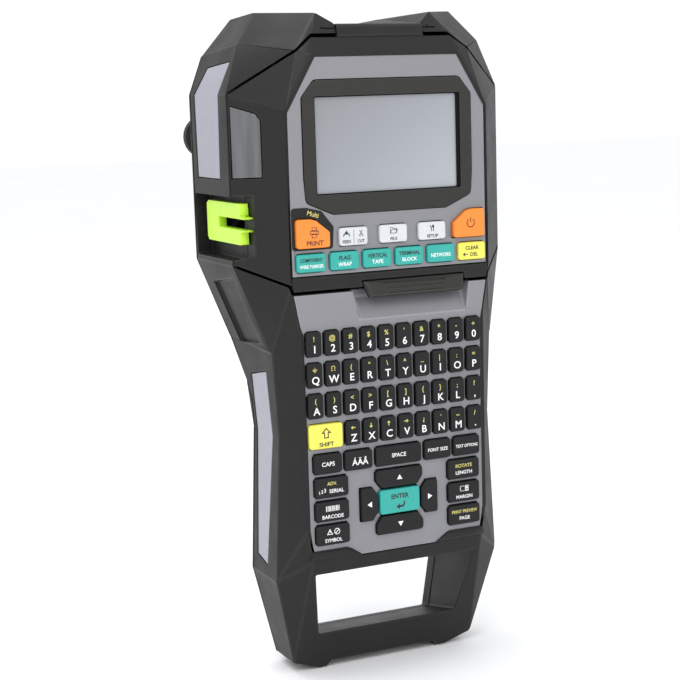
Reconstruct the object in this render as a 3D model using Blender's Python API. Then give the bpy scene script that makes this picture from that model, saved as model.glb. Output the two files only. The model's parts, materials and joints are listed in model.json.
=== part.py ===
"""Handheld label maker, standing on its two feet.

+Z runs up its long axis, +X to the right of someone facing the keys, and -Y out of the front.

Sizes are millimetres, turned into metres by at().
A point is (x, depth behind the key tops, height above the feet).
The casing is one faceted form, split into the housing, the rear cover and the hinged lid.
"""

import math

import bmesh
import bpy
import numpy as np
from mathutils import Matrix, Vector

MM = 0.001
HALF_DEPTH = 41.7
GAP = 0.35
WALL = 2.6
FRONT = 1.5
SEAM = 0.6
PANEL_TOP = 1.8
PANEL_BACK = 2.9
KEY_WEB_TOP = 3.25
KEY_WEB_BACK = 4.0
KEY_TRAVEL = 1.2
WEB_MARGIN = 0.7
KEY_CHAMFER = 0.5
BOARD_TOP = KEY_WEB_BACK + KEY_TRAVEL + 0.85
BOARD_BACK = BOARD_TOP + 1.4
COLUMN_PITCH = 9.0
ROW_PITCH = 14.03
KEY_WIDTH = 7.4
KEY_HEIGHT = 11.2
KEYS_CENTRE = 137.5
LID_REAR = 24.0
LID_BOTTOM = 181.5
PIN_DEPTH = 9.8
PIN_HEIGHT = 296.0
PIN_RADIUS = 1.0
LUG_RADIUS = 2.8
LUG_HALF_WIDTH = 21.1
CROWN_REACH = 3.1
EXIT_HEIGHT = 212.2
CUTTER_X = -55.7
ROLLER_X = -46.0
ROLLER_RADIUS = 6.0
GEAR_MODULE = 0.8
ROLLER_TEETH = 24
PINION_TEETH = 12
GEAR_FRONT = 63.0
GEAR_BACK = 66.0
FOOT_X = 58.2
FOOT_HEIGHT = 250.0
BACK_UPPER = 76.0
BACK_LOWER = 48.0
BOTTOM_REAR = 45.0
FLANK_REAR = 42.5
BOTTOM_LINE = 3.0
LEAN_TOP = 58.6
LEAN_RUN = 20.2 / 55.6


def lean(height):
    """Depth of the leaning face of the handle end at a height."""
    return FRONT + (LEAN_TOP - height) * LEAN_RUN


# Corners of the casing on the +X side.
CORNERS = {
    "bottom_front_mid": (0.0, lean(BOTTOM_LINE), BOTTOM_LINE),
    "foot_in": (26.8, lean(BOTTOM_LINE), BOTTOM_LINE),
    "foot_flat_in": (29.6, lean(0.0), 0.0),
    "foot_flat_out": (33.8, lean(0.0), 0.0),
    "foot_out": (47.3, lean(5.0), 5.0),
    "lean_mid": (0.0, FRONT, LEAN_TOP),
    "lean_edge": (43.8, FRONT, LEAN_TOP),
    "panel_low": (45.6, FRONT, 73.5),
    "panel_mid": (45.6, FRONT, 109.0),
    "waist_front": (45.9, FRONT, 163.4),
    "lid_low": (49.6, FRONT, 185.0),
    "lid_side": (49.5, FRONT, 261.7),
    "lid_top": (35.7, FRONT, 285.2),
    "lid_top_mid": (0.0, FRONT, 285.2),
    "bumper_low": (42.3, 4.7, 287.7),
    "ledge_out": (33.7, 7.2, 294.3),
    "ledge_in": (22.0, 7.2, 294.3),
    "bumper_in": (21.0, 10.0, 298.8),
    "top_mid": (0.0, 10.0, 298.8),
    "bumper_top_in": (28.5, 14.5, 304.0),
    "bumper_top": (49.7, 34.7, 305.2),
    "bumper_out": (60.5, 27.4, 291.4),
    "side_top": (68.5, LID_REAR, 269.5),
    "side_low": (68.5, LID_REAR, 193.5),
    "waist": (56.1, 12.0, 154.2),
    "grip": (54.3, 12.1, 115.1),
    "hip": (57.7, 12.9, 48.3),
    "bottom_rear_mid": (0.0, BOTTOM_REAR, BOTTOM_LINE),
    "foot_in_rear": (26.8, BOTTOM_REAR, BOTTOM_LINE),
    "flat_in_rear": (29.6, BOTTOM_REAR, 0.0),
    "flat_out_rear": (33.8, BOTTOM_REAR, 0.0),
    "foot_out_rear": (47.3, FLANK_REAR, 5.0),
    "hip_rear": (57.7, FLANK_REAR, 48.3),
    "grip_rear": (54.3, FLANK_REAR, 115.1),
    "neck_rear": (55.31, 46.0, 137.0),
    "waist_rear": (57.0, 61.5, 157.0),
    "side_low_rear": (68.5, 71.0, 193.5),
    "side_top_rear": (68.5, 71.5, 269.5),
    "bumper_out_rear": (62.1, 70.5, 287.0),
    "bumper_top_rear": (51.0, 60.0, 303.5),
    "bumper_in_rear": (26.0, 62.0, 303.0),
    "top_mid_rear": (0.0, 62.0, 298.8),
    "heel": (42.0, BACK_LOWER, 11.0),
    "heel_mid": (0.0, BACK_LOWER, 11.0),
    "back_hip": (48.0, BACK_LOWER, 48.3),
    "back_grip": (46.0, BACK_LOWER, 115.1),
    "back_grip_mid": (0.0, BACK_LOWER, 115.1),
    "back_neck": (46.0, 52.0, 134.0),
    "back_neck_mid": (0.0, 52.0, 134.0),
    "back_waist": (48.0, 70.0, 160.0),
    "back_waist_mid": (0.0, 70.0, 160.0),
    "back_low": (60.0, BACK_UPPER, 188.0),
    "back_low_mid": (0.0, BACK_UPPER, 188.0),
    "back_top": (60.0, BACK_UPPER, 268.0),
    "back_crown": (53.0, BACK_UPPER, 284.0),
    "back_crown_mid": (0.0, BACK_UPPER, 284.0),
}
FACETS = [
    "lean_mid lean_edge foot_out foot_flat_out foot_flat_in foot_in bottom_front_mid",
    "lean_mid lean_edge panel_low panel_mid waist_front lid_low lid_side lid_top lid_top_mid",
    "lid_top bumper_low ledge_out",
    "lid_top_mid lid_top ledge_out ledge_in bumper_in top_mid",
    "lid_top lid_side bumper_low",
    "lid_side side_top bumper_low",
    "lid_side lid_low side_low side_top",
    "bumper_in ledge_in ledge_out",
    "bumper_in ledge_out bumper_top_in",
    "bumper_top_in ledge_out bumper_low",
    "bumper_top_in bumper_low bumper_out",
    "bumper_top_in bumper_out bumper_top",
    "bumper_low side_top bumper_out",
    "lid_low waist_front waist",
    "lid_low waist side_low",
    "waist_front panel_mid grip",
    "waist_front grip waist",
    "panel_mid panel_low hip",
    "panel_mid hip grip",
    "panel_low lean_edge hip",
    "lean_edge foot_out hip",
    "bottom_front_mid foot_in foot_in_rear bottom_rear_mid",
    "foot_in foot_flat_in flat_in_rear foot_in_rear",
    "foot_flat_in foot_flat_out flat_out_rear flat_in_rear",
    "foot_flat_out foot_out foot_out_rear",
    "foot_flat_out foot_out_rear flat_out_rear",
    "side_top side_low side_low_rear side_top_rear",
    "side_low waist waist_rear",
    "side_low waist_rear side_low_rear",
    "waist grip grip_rear",
    "waist grip_rear neck_rear",
    "waist neck_rear waist_rear",
    "grip hip hip_rear",
    "grip hip_rear grip_rear",
    "hip foot_out foot_out_rear",
    "hip foot_out_rear hip_rear",
    "side_top side_top_rear bumper_out_rear",
    "side_top bumper_out_rear bumper_out",
    "bumper_out bumper_out_rear bumper_top_rear",
    "bumper_out bumper_top_rear bumper_top",
    "bumper_top_in bumper_top bumper_top_rear",
    "bumper_top_in bumper_top_rear bumper_in_rear",
    "bumper_in bumper_top_in bumper_in_rear",
    "bumper_in bumper_in_rear top_mid_rear",
    "top_mid bumper_in top_mid_rear",
    "bottom_rear_mid foot_in_rear heel heel_mid",
    "foot_in_rear flat_in_rear heel",
    "flat_in_rear flat_out_rear heel",
    "flat_out_rear foot_out_rear heel",
    "foot_out_rear hip_rear heel",
    "hip_rear back_hip heel",
    "hip_rear grip_rear back_hip",
    "grip_rear back_grip back_hip",
    "grip_rear neck_rear back_grip",
    "neck_rear back_neck back_grip",
    "neck_rear waist_rear back_neck",
    "waist_rear back_waist back_neck",
    "waist_rear side_low_rear back_waist",
    "side_low_rear back_low back_waist",
    "side_low_rear side_top_rear back_top back_low",
    "side_top_rear bumper_out_rear back_crown",
    "side_top_rear back_crown back_top",
    "bumper_out_rear bumper_top_rear back_crown",
    "bumper_top_rear bumper_in_rear back_crown",
    "bumper_in_rear top_mid_rear back_crown_mid",
    "bumper_in_rear back_crown_mid back_crown",
    "heel_mid heel back_hip back_grip back_grip_mid",
    "back_grip_mid back_grip back_neck back_neck_mid",
    "back_neck_mid back_neck back_waist back_waist_mid",
    "back_waist_mid back_waist back_low back_low_mid",
    "back_low_mid back_low back_top back_crown back_crown_mid",
]
# The parting line between housing and rear cover, as (depth, height).
PARTING = [(41.0, -5.0), (41.0, 130.0), (60.0, 158.0), (70.0, 191.0), (70.0, 310.0)]
# Outlines in the front view, as (x, height), on the +X side from the bottom up.
PANEL_SIDE = [(19.0, 58.9), (25.0, 63.0), (43.0, 63.0), (45.2, 74.0), (45.2, 109.0), (45.5, 163.4)]
PANEL_SIDE += [(48.6, 180.6)]
LID_PANEL_SIDE = [(48.9, 189.0), (48.9, 261.5), (35.3, 284.6)]
PANEL_HOLE_SIDE = [(19.0, 61.6), (24.4, 64.4), (42.9, 64.4), (45.05, 74.2), (45.3, 166.2)]
LID_HOLE_SIDE = [(48.7, 189.3), (48.7, 258.0), (41.0, 275.6)]
BEZEL_SIDE = [(28.3, 215.7), (41.2, 221.3), (42.0, 232.0), (42.0, 266.9), (36.0, 274.4)]
LID_SIDE = [(49.0, LID_BOTTOM), (49.8, 184.8), (68.5, 193.8), (72.0, 195.5)]
LID_CROWN = [(72.0, 267.0), (42.3, 287.4), (33.7, 294.0)]
SCREEN = (36.2, 224.3, 267.4)
BEZEL_ROUND = 2.6
BEZEL_TOP = 1.3
BEZEL_BACK = 4.0
SCREEN_ROUND = 0.9
LENS_LIP = 1.2
LENS_SEAT = 2.7
LENS_BACK = 4.0

COLOURS = {
    "black": ((0.012, 0.012, 0.013), 0.62, 0.0),
    "silver": ((0.36, 0.36, 0.40), 0.38, 0.15),
    "olive": ((0.05, 0.046, 0.04), 0.5, 0.0),
    "screen": ((0.42, 0.46, 0.5), 0.12, 0.0),
    "key_black": ((0.02, 0.02, 0.022), 0.5, 0.0),
    "key_orange": ((0.9, 0.33, 0.05), 0.5, 0.0),
    "key_white": ((0.8, 0.8, 0.8), 0.5, 0.0),
    "key_teal": ((0.06, 0.5, 0.45), 0.5, 0.0),
    "key_yellow": ((0.85, 0.75, 0.06), 0.5, 0.0),
    "lime": ((0.5, 0.85, 0.05), 0.45, 0.0),
    "strip": ((0.62, 0.62, 0.7), 0.35, 0.0),
    "smoke": ((0.2, 0.21, 0.22), 0.1, 0.0),
    "steel": ((0.5, 0.5, 0.5), 0.3, 1.0),
    "rubber": ((0.02, 0.02, 0.02), 0.8, 0.0),
    "board": ((0.02, 0.14, 0.06), 0.5, 0.0),
    "cell": ((0.08, 0.09, 0.12), 0.5, 0.0),
    "grey": ((0.2, 0.2, 0.21), 0.5, 0.0),
}


def at(x, depth, height):
    return (x * MM, (depth - HALF_DEPTH) * MM, height * MM)


def clear_scene():
    for thing in list(bpy.data.objects):
        bpy.data.objects.remove(thing, do_unlink=True)


def material(colour):
    found = bpy.data.materials.get(colour)
    if found:
        return found
    rgb, rough, metal = COLOURS[colour]
    made = bpy.data.materials.new(colour)
    made.use_nodes = True
    shader = made.node_tree.nodes["Principled BSDF"]
    shader.inputs["Base Color"].default_value = (*rgb, 1.0)
    shader.inputs["Roughness"].default_value = rough
    shader.inputs["Metallic"].default_value = metal
    return made


def node(name, form, colour=None):
    """A named object from a bmesh. With no colour it is a cutter, which renders nowhere."""
    mesh = bpy.data.meshes.new(name)
    bmesh.ops.recalc_face_normals(form, faces=form.faces[:])
    form.to_mesh(mesh)
    form.free()
    thing = bpy.data.objects.new(name, mesh)
    bpy.context.scene.collection.objects.link(thing)
    if colour:
        mesh.materials.append(material(colour))
    else:
        thing.hide_render = True
        thing.display_type = "WIRE"
    return thing


def add_solid(form, points, faces):
    """Adds the closed solid with these (x, depth, height) points to a bmesh."""
    made = [form.verts.new(at(*point)) for point in points]
    for face in faces:
        form.faces.new([made[index] for index in face])


def add_loft(form, rings):
    """Adds a solid through rings of equal length, closed at both ends."""
    count = len(rings[0])
    points = [point for ring in rings for point in ring]
    faces = [list(range(count)), [len(points) - count + index for index in range(count)]]
    for start in range(0, len(points) - count, count):
        for index in range(count):
            after = (index + 1) % count
            faces.append([start + index, start + after, start + count + after, start + count + index])
    add_solid(form, points, faces)


def ring(outline, depth):
    return [(x, depth, height) for x, height in outline]


def add_prism(form, outline, front, back):
    """An outline in the front view, run from one depth to another."""
    add_loft(form, [ring(outline, front), ring(outline, back)])


def add_box(form, low, high):
    (x0, d0, z0), (x1, d1, z1) = low, high
    add_prism(form, [(x0, z0), (x1, z0), (x1, z1), (x0, z1)], d0, d1)


def add_rod(form, x, height, front, back, radius, sides=24):
    """A round bar along the depth."""
    turns = [2 * math.pi * step / sides for step in range(sides)]
    add_prism(form, [(x + radius * math.cos(a), height + radius * math.sin(a)) for a in turns], front, back)


def add_cross_rod(form, depth, height, left, right, radius, sides=20):
    """A round bar along X."""
    turns = [2 * math.pi * step / sides for step in range(sides)]
    circle = [(depth + radius * math.cos(a), height + radius * math.sin(a)) for a in turns]
    add_loft(form, [[(x, d, z) for d, z in circle] for x in (left, right)])


def add_side_prism(form, outline, left, right):
    """An outline in the side view, as (depth, height), run from one x to another."""
    add_loft(form, [[(x, d, z) for d, z in outline] for x in (left, right)])


def both_sides(outline):
    """A right-hand outline going up, closed by its mirror image on the left."""
    return outline + [(-x, height) for x, height in reversed(outline)]


def grown(outline, amount):
    """The outline moved outwards by an amount, its corners kept sharp."""
    points = np.array(outline)
    ahead = np.roll(points, -1, axis=0) - points
    area = np.sum(points[:, 0] * np.roll(points[:, 1], -1) - np.roll(points[:, 0], -1) * points[:, 1])
    normal = np.stack([ahead[:, 1], -ahead[:, 0]], axis=1) / np.linalg.norm(ahead, axis=1)[:, None]
    normal *= math.copysign(1.0, area)
    before = np.roll(normal, 1, axis=0)
    corner = (normal + before) / (1 + np.sum(normal * before, axis=1))[:, None]
    return [tuple(point) for point in points + amount * corner]


def chamfered(width, height, cut):
    """A rectangle about the origin with its corners cut off."""
    w, h = width / 2, height / 2
    right = [(w - cut, -h), (w, cut - h), (w, h - cut), (w - cut, h)]
    return right + [(-x, z) for x, z in reversed(right)]


def rounded(outline, radius, steps=4):
    """The outline with each corner turned as an arc of the radius."""
    made = []
    for index, corner in enumerate(np.array(outline)):
        ways = [np.array(outline[(index + step) % len(outline)]) - corner for step in (-1, 1)]
        ways = [way / np.linalg.norm(way) for way in ways]
        half = math.acos(np.clip(np.dot(*ways), -1.0, 1.0)) / 2
        middle = corner + (ways[0] + ways[1]) / np.linalg.norm(ways[0] + ways[1]) * radius / math.sin(half)
        first, last = [corner + way * radius / math.tan(half) - middle for way in ways]
        for step in range(steps + 1):
            arm = first + (last - first) * step / steps
            made.append(tuple(middle + arm * radius / np.linalg.norm(arm)))
    return made


def moved(outline, x, height):
    return [(px + x, pz + height) for px, pz in outline]


def boolean(thing, cutter, operation="DIFFERENCE"):
    made = thing.modifiers.new(cutter.name, "BOOLEAN")
    made.operation = operation
    made.object = cutter
    made.solver = "EXACT"


def cutter(name, fill):
    form = bmesh.new()
    fill(form)
    return node(name, form)


def cut(name, add, *sizes):
    """A cutter made by one of the add functions."""
    return cutter(name, lambda form: add(form, *sizes))


def piece(name, colour, fill):
    form = bmesh.new()
    fill(form)
    return node(name, form, colour)


def pivot(name, x, depth, height):
    """Moves a piece's origin onto its joint's axis, and leaves the piece where it is."""
    thing = bpy.data.objects[name]
    place = Vector(at(x, depth, height))
    thing.data.transform(Matrix.Translation(-place))
    thing.location = place


def shade_round(*names):
    """Smooth shading over round pieces, with their edges kept sharp."""
    for name in names:
        mesh = bpy.data.objects[name].data
        mesh.shade_smooth()
        mesh.set_sharp_from_angle(angle=math.radians(35))


def casing_points():
    names = list(CORNERS)
    right = np.array([CORNERS[name] for name in names])
    left = right * (-1, 1, 1)
    return names, right, left


def add_casing(form, inset=0.0):
    """The whole faceted form, or the same form with every facet moved inwards."""
    names, right, left = casing_points()
    triangles = []
    for row in FACETS:
        loop = [names.index(word) for word in row.split()]
        triangles += [(loop[0], loop[k], loop[k + 1]) for k in range(1, len(loop) - 1)]
    middle = np.array([0.0, 38.0, 170.0])
    push = [[] for _ in names]
    for a, b, c in triangles:
        normal = np.cross(right[b] - right[a], right[c] - right[a])
        normal /= np.linalg.norm(normal)
        normal *= math.copysign(1.0, np.dot(normal, right[a] - middle))
        for index in (a, b, c):
            push[index].append(normal)
            if right[index][0] == 0:
                push[index].append(normal * (-1, 1, 1))
    moved_right = right.copy()
    for index, normals in enumerate(push):
        step = np.linalg.lstsq(np.array(normals), np.full(len(normals), -inset), rcond=None)[0]
        moved_right[index] += step
        if right[index][0] == 0:
            moved_right[index][0] = 0
    made = {}
    for side, sign in (("R", 1), ("L", -1)):
        for index, name in enumerate(names):
            if right[index][0] == 0 and side == "L":
                made[side, index] = made["R", index]
            else:
                x, depth, height = moved_right[index]
                made[side, index] = form.verts.new(at(sign * x, depth, height))
    for row in FACETS:
        loop = [names.index(word) for word in row.split()]
        form.faces.new([made["R", index] for index in loop])
        form.faces.new([made["L", index] for index in reversed(loop)])


def lid_outline(offset):
    """The lid's own area in the front view, without its hinge lug."""
    return grown(both_sides(LID_SIDE + LID_CROWN), offset)


def add_key(form, x, height, outline, top):
    """A key cap: a web behind the panel, then the cap through it with a narrower top."""
    rings = [
        ring(moved(grown(outline, WEB_MARGIN), x, height), KEY_WEB_BACK),
        ring(moved(grown(outline, WEB_MARGIN), x, height), KEY_WEB_TOP),
        ring(moved(outline, x, height), KEY_WEB_TOP),
        ring(moved(outline, x, height), top + KEY_CHAMFER),
        ring(moved(grown(outline, -KEY_CHAMFER), x, height), top),
    ]
    add_loft(form, rings)


def column(index):
    return (index - 4.5) * COLUMN_PITCH


def row_height(index):
    return KEYS_CENTRE + (1.5 - index) * ROW_PITCH


def plain(width, height, cut=1.1):
    return chamfered(width, height, cut)


UP_ARROW = [(-9.2, -4.3), (9.2, -4.3), (12, -0.5), (12, 3.2), (11, 4.3), (-11, 4.3), (-12, 3.2), (-12, -0.5)]
LEFT_ARROW = [(-4.3, -7.8), (1.5, -7.8), (4.3, -4.0), (4.3, 4.0), (1.5, 7.8), (-4.3, 7.8)]
ARROWS = {
    "up": UP_ARROW,
    "down": [(x, -z) for x, z in reversed(UP_ARROW)],
    "left": LEFT_ARROW,
    "right": [(-x, z) for x, z in reversed(LEFT_ARROW)],
}
PAD_CENTRE = (0.2, 0.0, 82.0)
ARROW_PLACES = {"up": (0.2, 93.0), "down": (0.2, 71.2), "left": (-15.2, 82.0), "right": (15.6, 82.0)}
PRINT_OUTLINE = [(-8.0, -6.4), (8.0, -6.4), (8.0, 0.4), (1.6, 5.6), (-1.0, 6.4), (-8.0, 6.4)]
POWER_OUTLINE = [(-x, z) for x, z in reversed(PRINT_OUTLINE)]
# Each special key: name, colour, x, height, outline, depth of its top.
LID_KEYS = [
    ("key_print", "key_orange", -39.2, 207.8, PRINT_OUTLINE, -0.6),
    ("key_feed", "key_white", -19.4, 205.4, plain(13.8, 8.0), 0.1),
    ("key_file", "key_white", 0.5, 205.4, plain(13.8, 8.0), 0.1),
    ("key_setup", "key_white", 20.2, 205.4, plain(13.8, 8.0), 0.1),
    ("key_power", "key_orange", 39.2, 207.8, POWER_OUTLINE, -0.6),
    ("key_component", "key_teal", -40.3, 194.8, plain(14.0, 8.0), 0.1),
    ("key_flag", "key_teal", -24.1, 194.8, plain(14.0, 8.0), 0.1),
    ("key_vertical", "key_teal", -7.9, 194.8, plain(14.0, 8.0), 0.1),
    ("key_terminal", "key_teal", 8.3, 194.8, plain(14.0, 8.0), 0.1),
    ("key_network", "key_teal", 24.5, 194.8, plain(14.0, 8.0), 0.1),
    ("key_clear", "key_yellow", 40.7, 194.8, plain(14.0, 8.0), 0.1),
]
BASE_KEYS = [
    ("key_shift", "key_yellow", column(0) + 4.5, row_height(3), plain(16.4, 11.2), 0.0),
    ("key_caps", "key_black", -35.5, 103.7, plain(13.9, 9.0), 0.0),
    ("key_accents", "key_black", -20.2, 103.7, plain(13.9, 9.0), 0.0),
    ("key_space", "key_black", 0.2, 103.7, plain(23.4, 9.0), 0.0),
    ("key_font", "key_black", 20.5, 103.7, plain(13.9, 9.0), 0.0),
    ("key_text", "key_black", 35.8, 103.7, plain(13.9, 9.0), 0.0),
    ("key_serial", "key_black", -34.0, 92.7, plain(16.6, 9.2), 0.0),
    ("key_barcode", "key_black", -34.0, 81.7, plain(16.6, 9.2), 0.0),
    ("key_symbol", "key_black", -34.0, 70.7, plain(16.6, 9.2), 0.0),
    ("key_rotate", "key_black", 34.0, 92.7, plain(16.6, 9.2), 0.0),
    ("key_margin", "key_black", 34.0, 81.7, plain(16.6, 9.2), 0.0),
    ("key_preview", "key_black", 34.0, 70.7, plain(16.6, 9.2), 0.0),
    ("key_enter", "key_teal", 0.2, 82.0, plain(20.4, 11.4), -0.1),
]


def letter_keys(row):
    """Places of the single-character keys of a row. The last row starts after the shift key."""
    first = 2 if row == 3 else 0
    return [(column(index), row_height(row)) for index in range(first, 10)]


def make_letter_row(row):
    """A row of key caps on their common rubber web."""
    places = letter_keys(row)
    low, high = places[0][0] - KEY_WIDTH / 2 - WEB_MARGIN, places[-1][0] + KEY_WIDTH / 2 + WEB_MARGIN
    z = places[0][1]

    def web(form):
        half = KEY_HEIGHT / 2 + WEB_MARGIN
        add_box(form, (low, KEY_WEB_TOP, z - half), (high, KEY_WEB_BACK, z + half))

    def caps(form):
        shape = plain(KEY_WIDTH, KEY_HEIGHT)
        for x, height in places:
            base = ring(moved(shape, x, height), KEY_WEB_TOP + 0.4)
            shoulder = ring(moved(shape, x, height), KEY_CHAMFER)
            top = ring(moved(grown(shape, -KEY_CHAMFER), x, height), 0.0)
            add_loft(form, [base, shoulder, top])

    name = f"letter_row_{row + 1}"
    boolean(piece(name, "key_black", web), cutter(f"letter_caps_{row + 1}", caps), "UNION")
    pivot(name, (low + high) / 2, 0.0, z)


def make_arrow_pad():
    """Four arrow caps on one ring-shaped rubber web round the enter key."""

    def web(form):
        add_prism(form, moved(chamfered(40.6, 31.2, 4.0), 0.2, 82.0), KEY_WEB_TOP, KEY_WEB_BACK)

    def hole(form):
        add_prism(form, moved(plain(22.6, 13.6), 0.2, 82.0), KEY_WEB_TOP - 1, KEY_WEB_BACK + 1)

    def caps(form):
        for name, shape in ARROWS.items():
            x, height = ARROW_PLACES[name]
            base = ring(moved(shape, x, height), KEY_WEB_TOP + 0.4)
            shoulder = ring(moved(shape, x, height), KEY_CHAMFER)
            top = ring(moved(grown(shape, -KEY_CHAMFER), x, height), 0.0)
            add_loft(form, [base, shoulder, top])

    made = piece("arrow_pad", "key_black", web)
    boolean(made, cutter("arrow_pad_hole", hole))
    boolean(made, cutter("arrow_caps", caps), "UNION")
    pivot("arrow_pad", *PAD_CENTRE)


def make_keys():
    for name, colour, x, height, outline, top in LID_KEYS + BASE_KEYS:
        piece(name, colour, lambda form: add_key(form, x, height, outline, top))
        pivot(name, x, top, height)
    for row in range(4):
        make_letter_row(row)
    make_arrow_pad()


def key_holes(form, keys):
    for _, _, x, height, outline, _ in keys:
        add_prism(form, moved(grown(outline, GAP), x, height), PANEL_TOP - 2, PANEL_BACK + 1)


def base_holes(form):
    key_holes(form, BASE_KEYS)
    shape = grown(plain(KEY_WIDTH, KEY_HEIGHT), GAP)
    for row in range(4):
        for x, height in letter_keys(row):
            add_prism(form, moved(shape, x, height), PANEL_TOP - 2, PANEL_BACK + 1)
    for name, shape in ARROWS.items():
        x, height = ARROW_PLACES[name]
        add_prism(form, moved(grown(shape, GAP), x, height), PANEL_TOP - 2, PANEL_BACK + 1)


SCOOP_BLOCK = [(-22.6, 180.6), (-18.8, 165.4), (39.4, 165.4), (42.0, 180.6)]
SCOOP_MOUTH = [(-21.4, 186.0), (-17.0, 166.4), (37.8, 166.4), (40.6, 186.0)]
SCOOP_FLOOR = [(-19.6, 186.0), (-17.4, 176.6), (37.8, 176.6), (38.8, 186.0)]
SCOOP_DEPTHS = (1.0, 8.2)
SCOOP_BACK = 9.4
OPENING_TOP = 51.5
OPENING = [(-36.0, 19.4), (36.0, 19.4), (41.5, OPENING_TOP), (-41.5, OPENING_TOP)]
FLOOR_DROP = 7.0


def flank_x(height):
    """Half width of the casing's flank at a height."""
    heights = [48.3, 115.1, 154.2, 193.5, 269.5, 291.4]
    halves = [57.7, 54.3, 56.1, 68.5, 68.5, 60.5]
    return float(np.interp(height, heights, halves))


def add_flank_slab(form, outline, outside, inside, side):
    """A slab that follows the flank between two distances from it, positive outwards.

    Six points fold it where the flank folds: low front, low rear, fold rear, top rear, top front, fold front.
    """
    points = []
    for offset in (outside, inside):
        points += [(side * (flank_x(z) + offset), d, z) for d, z in outline]
    count = len(outline)
    caps = [(0, 1, 2, 5), (2, 3, 4, 5)] if count == 6 else [(0, 1, 2, 3)]
    faces = [list(cap) for cap in caps] + [[index + count for index in cap] for cap in caps]
    faces += [[k, (k + 1) % count, count + (k + 1) % count, count + k] for k in range(count)]
    add_solid(form, points, faces)


def strip_outline(points, offset):
    """A folded strip's outline, grown by an offset with its fold kept at the same height."""
    fold = points[2][1]
    pairs = zip(grown(points, offset), points)
    return [(depth, fold if height == fold else new) for (depth, new), (_, height) in pairs]


def upper_strip_outline(offset=0.0):
    points = [(36.0, 232.0), (63.5, 232.0), (64.6, 269.5), (57.3, 281.6), (31.5, 283.6), (34.6, 269.5)]
    return strip_outline(points, offset)


def lower_strip_outline(offset=0.0):
    points = [(24.2, 54.0), (35.3, 56.6), (37.3, 115.1), (39.0, 141.4), (21.6, 144.8), (19.8, 115.1)]
    return strip_outline(points, offset)


STRIP_INSET = -0.25
STRIP_THICK = 0.9


def make_strips():
    for side, word in ((1, "right"), (-1, "left")):
        for level, outline in (("upper", upper_strip_outline()), ("lower", lower_strip_outline())):
            piece(
                f"reflective_strip_{level}_{word}",
                "strip",
                lambda form: add_flank_slab(form, outline, STRIP_INSET, STRIP_INSET - STRIP_THICK, side),
            )


def strip_seats(form):
    for side in (1, -1):
        for outline in (upper_strip_outline(GAP), lower_strip_outline(GAP)):
            add_flank_slab(form, outline, 3.0, STRIP_INSET - STRIP_THICK - GAP, side)


def pockets(form):
    """The shallow finger pocket on each sloping flank under the shoulder."""
    outline = [(24.0, 158.0), (48.5, 155.5), (57.5, 183.5), (28.5, 187.5)]
    for side in (1, -1):
        add_flank_slab(form, outline, 4.0, -1.6, side)


EXIT_RECESS_X = -61.0
EXIT_OPEN = (14.0, 69.0, 195.8, 224.4)


def exit_recess(form):
    d0, d1, z0, z1 = EXIT_OPEN
    outline = [(d0, z0 + 3), (24.0, z0), (d1 - 1, z0), (d1, z1), (d0, z1)]
    add_side_prism(form, outline, -72.0, EXIT_RECESS_X)


def opening(form):
    """The carrying loop's window. Its floor falls towards the back and its sides stay flat."""
    low_x, low_z = OPENING[1]
    high_x, high_z = OPENING[2]
    front = lean(low_z)
    rings = []
    for depth in (-4.0, 60.0):
        z = low_z - FLOOR_DROP * (depth - front) / (50.0 - front)
        x = low_x + (high_x - low_x) * (z - low_z) / (high_z - low_z)
        rings.append(ring([(-x, z), (x, z), (high_x, high_z), (-high_x, high_z)], depth))
    add_loft(form, rings)


DOOR_HALF = 30.0
DOOR_LOW = 70.6
DOOR_HIGH = 115.8
DOOR_THICK = 3.4
DOOR_PIVOT_IN = 1.8


def door_hole(form):
    half, low, high = DOOR_HALF + GAP, DOOR_LOW - 0.6 - GAP, DOOR_HIGH + GAP + 0.2
    add_box(form, (-half, BACK_LOWER - 6.0, low), (half, BACK_LOWER + 4.0, high))


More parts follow.
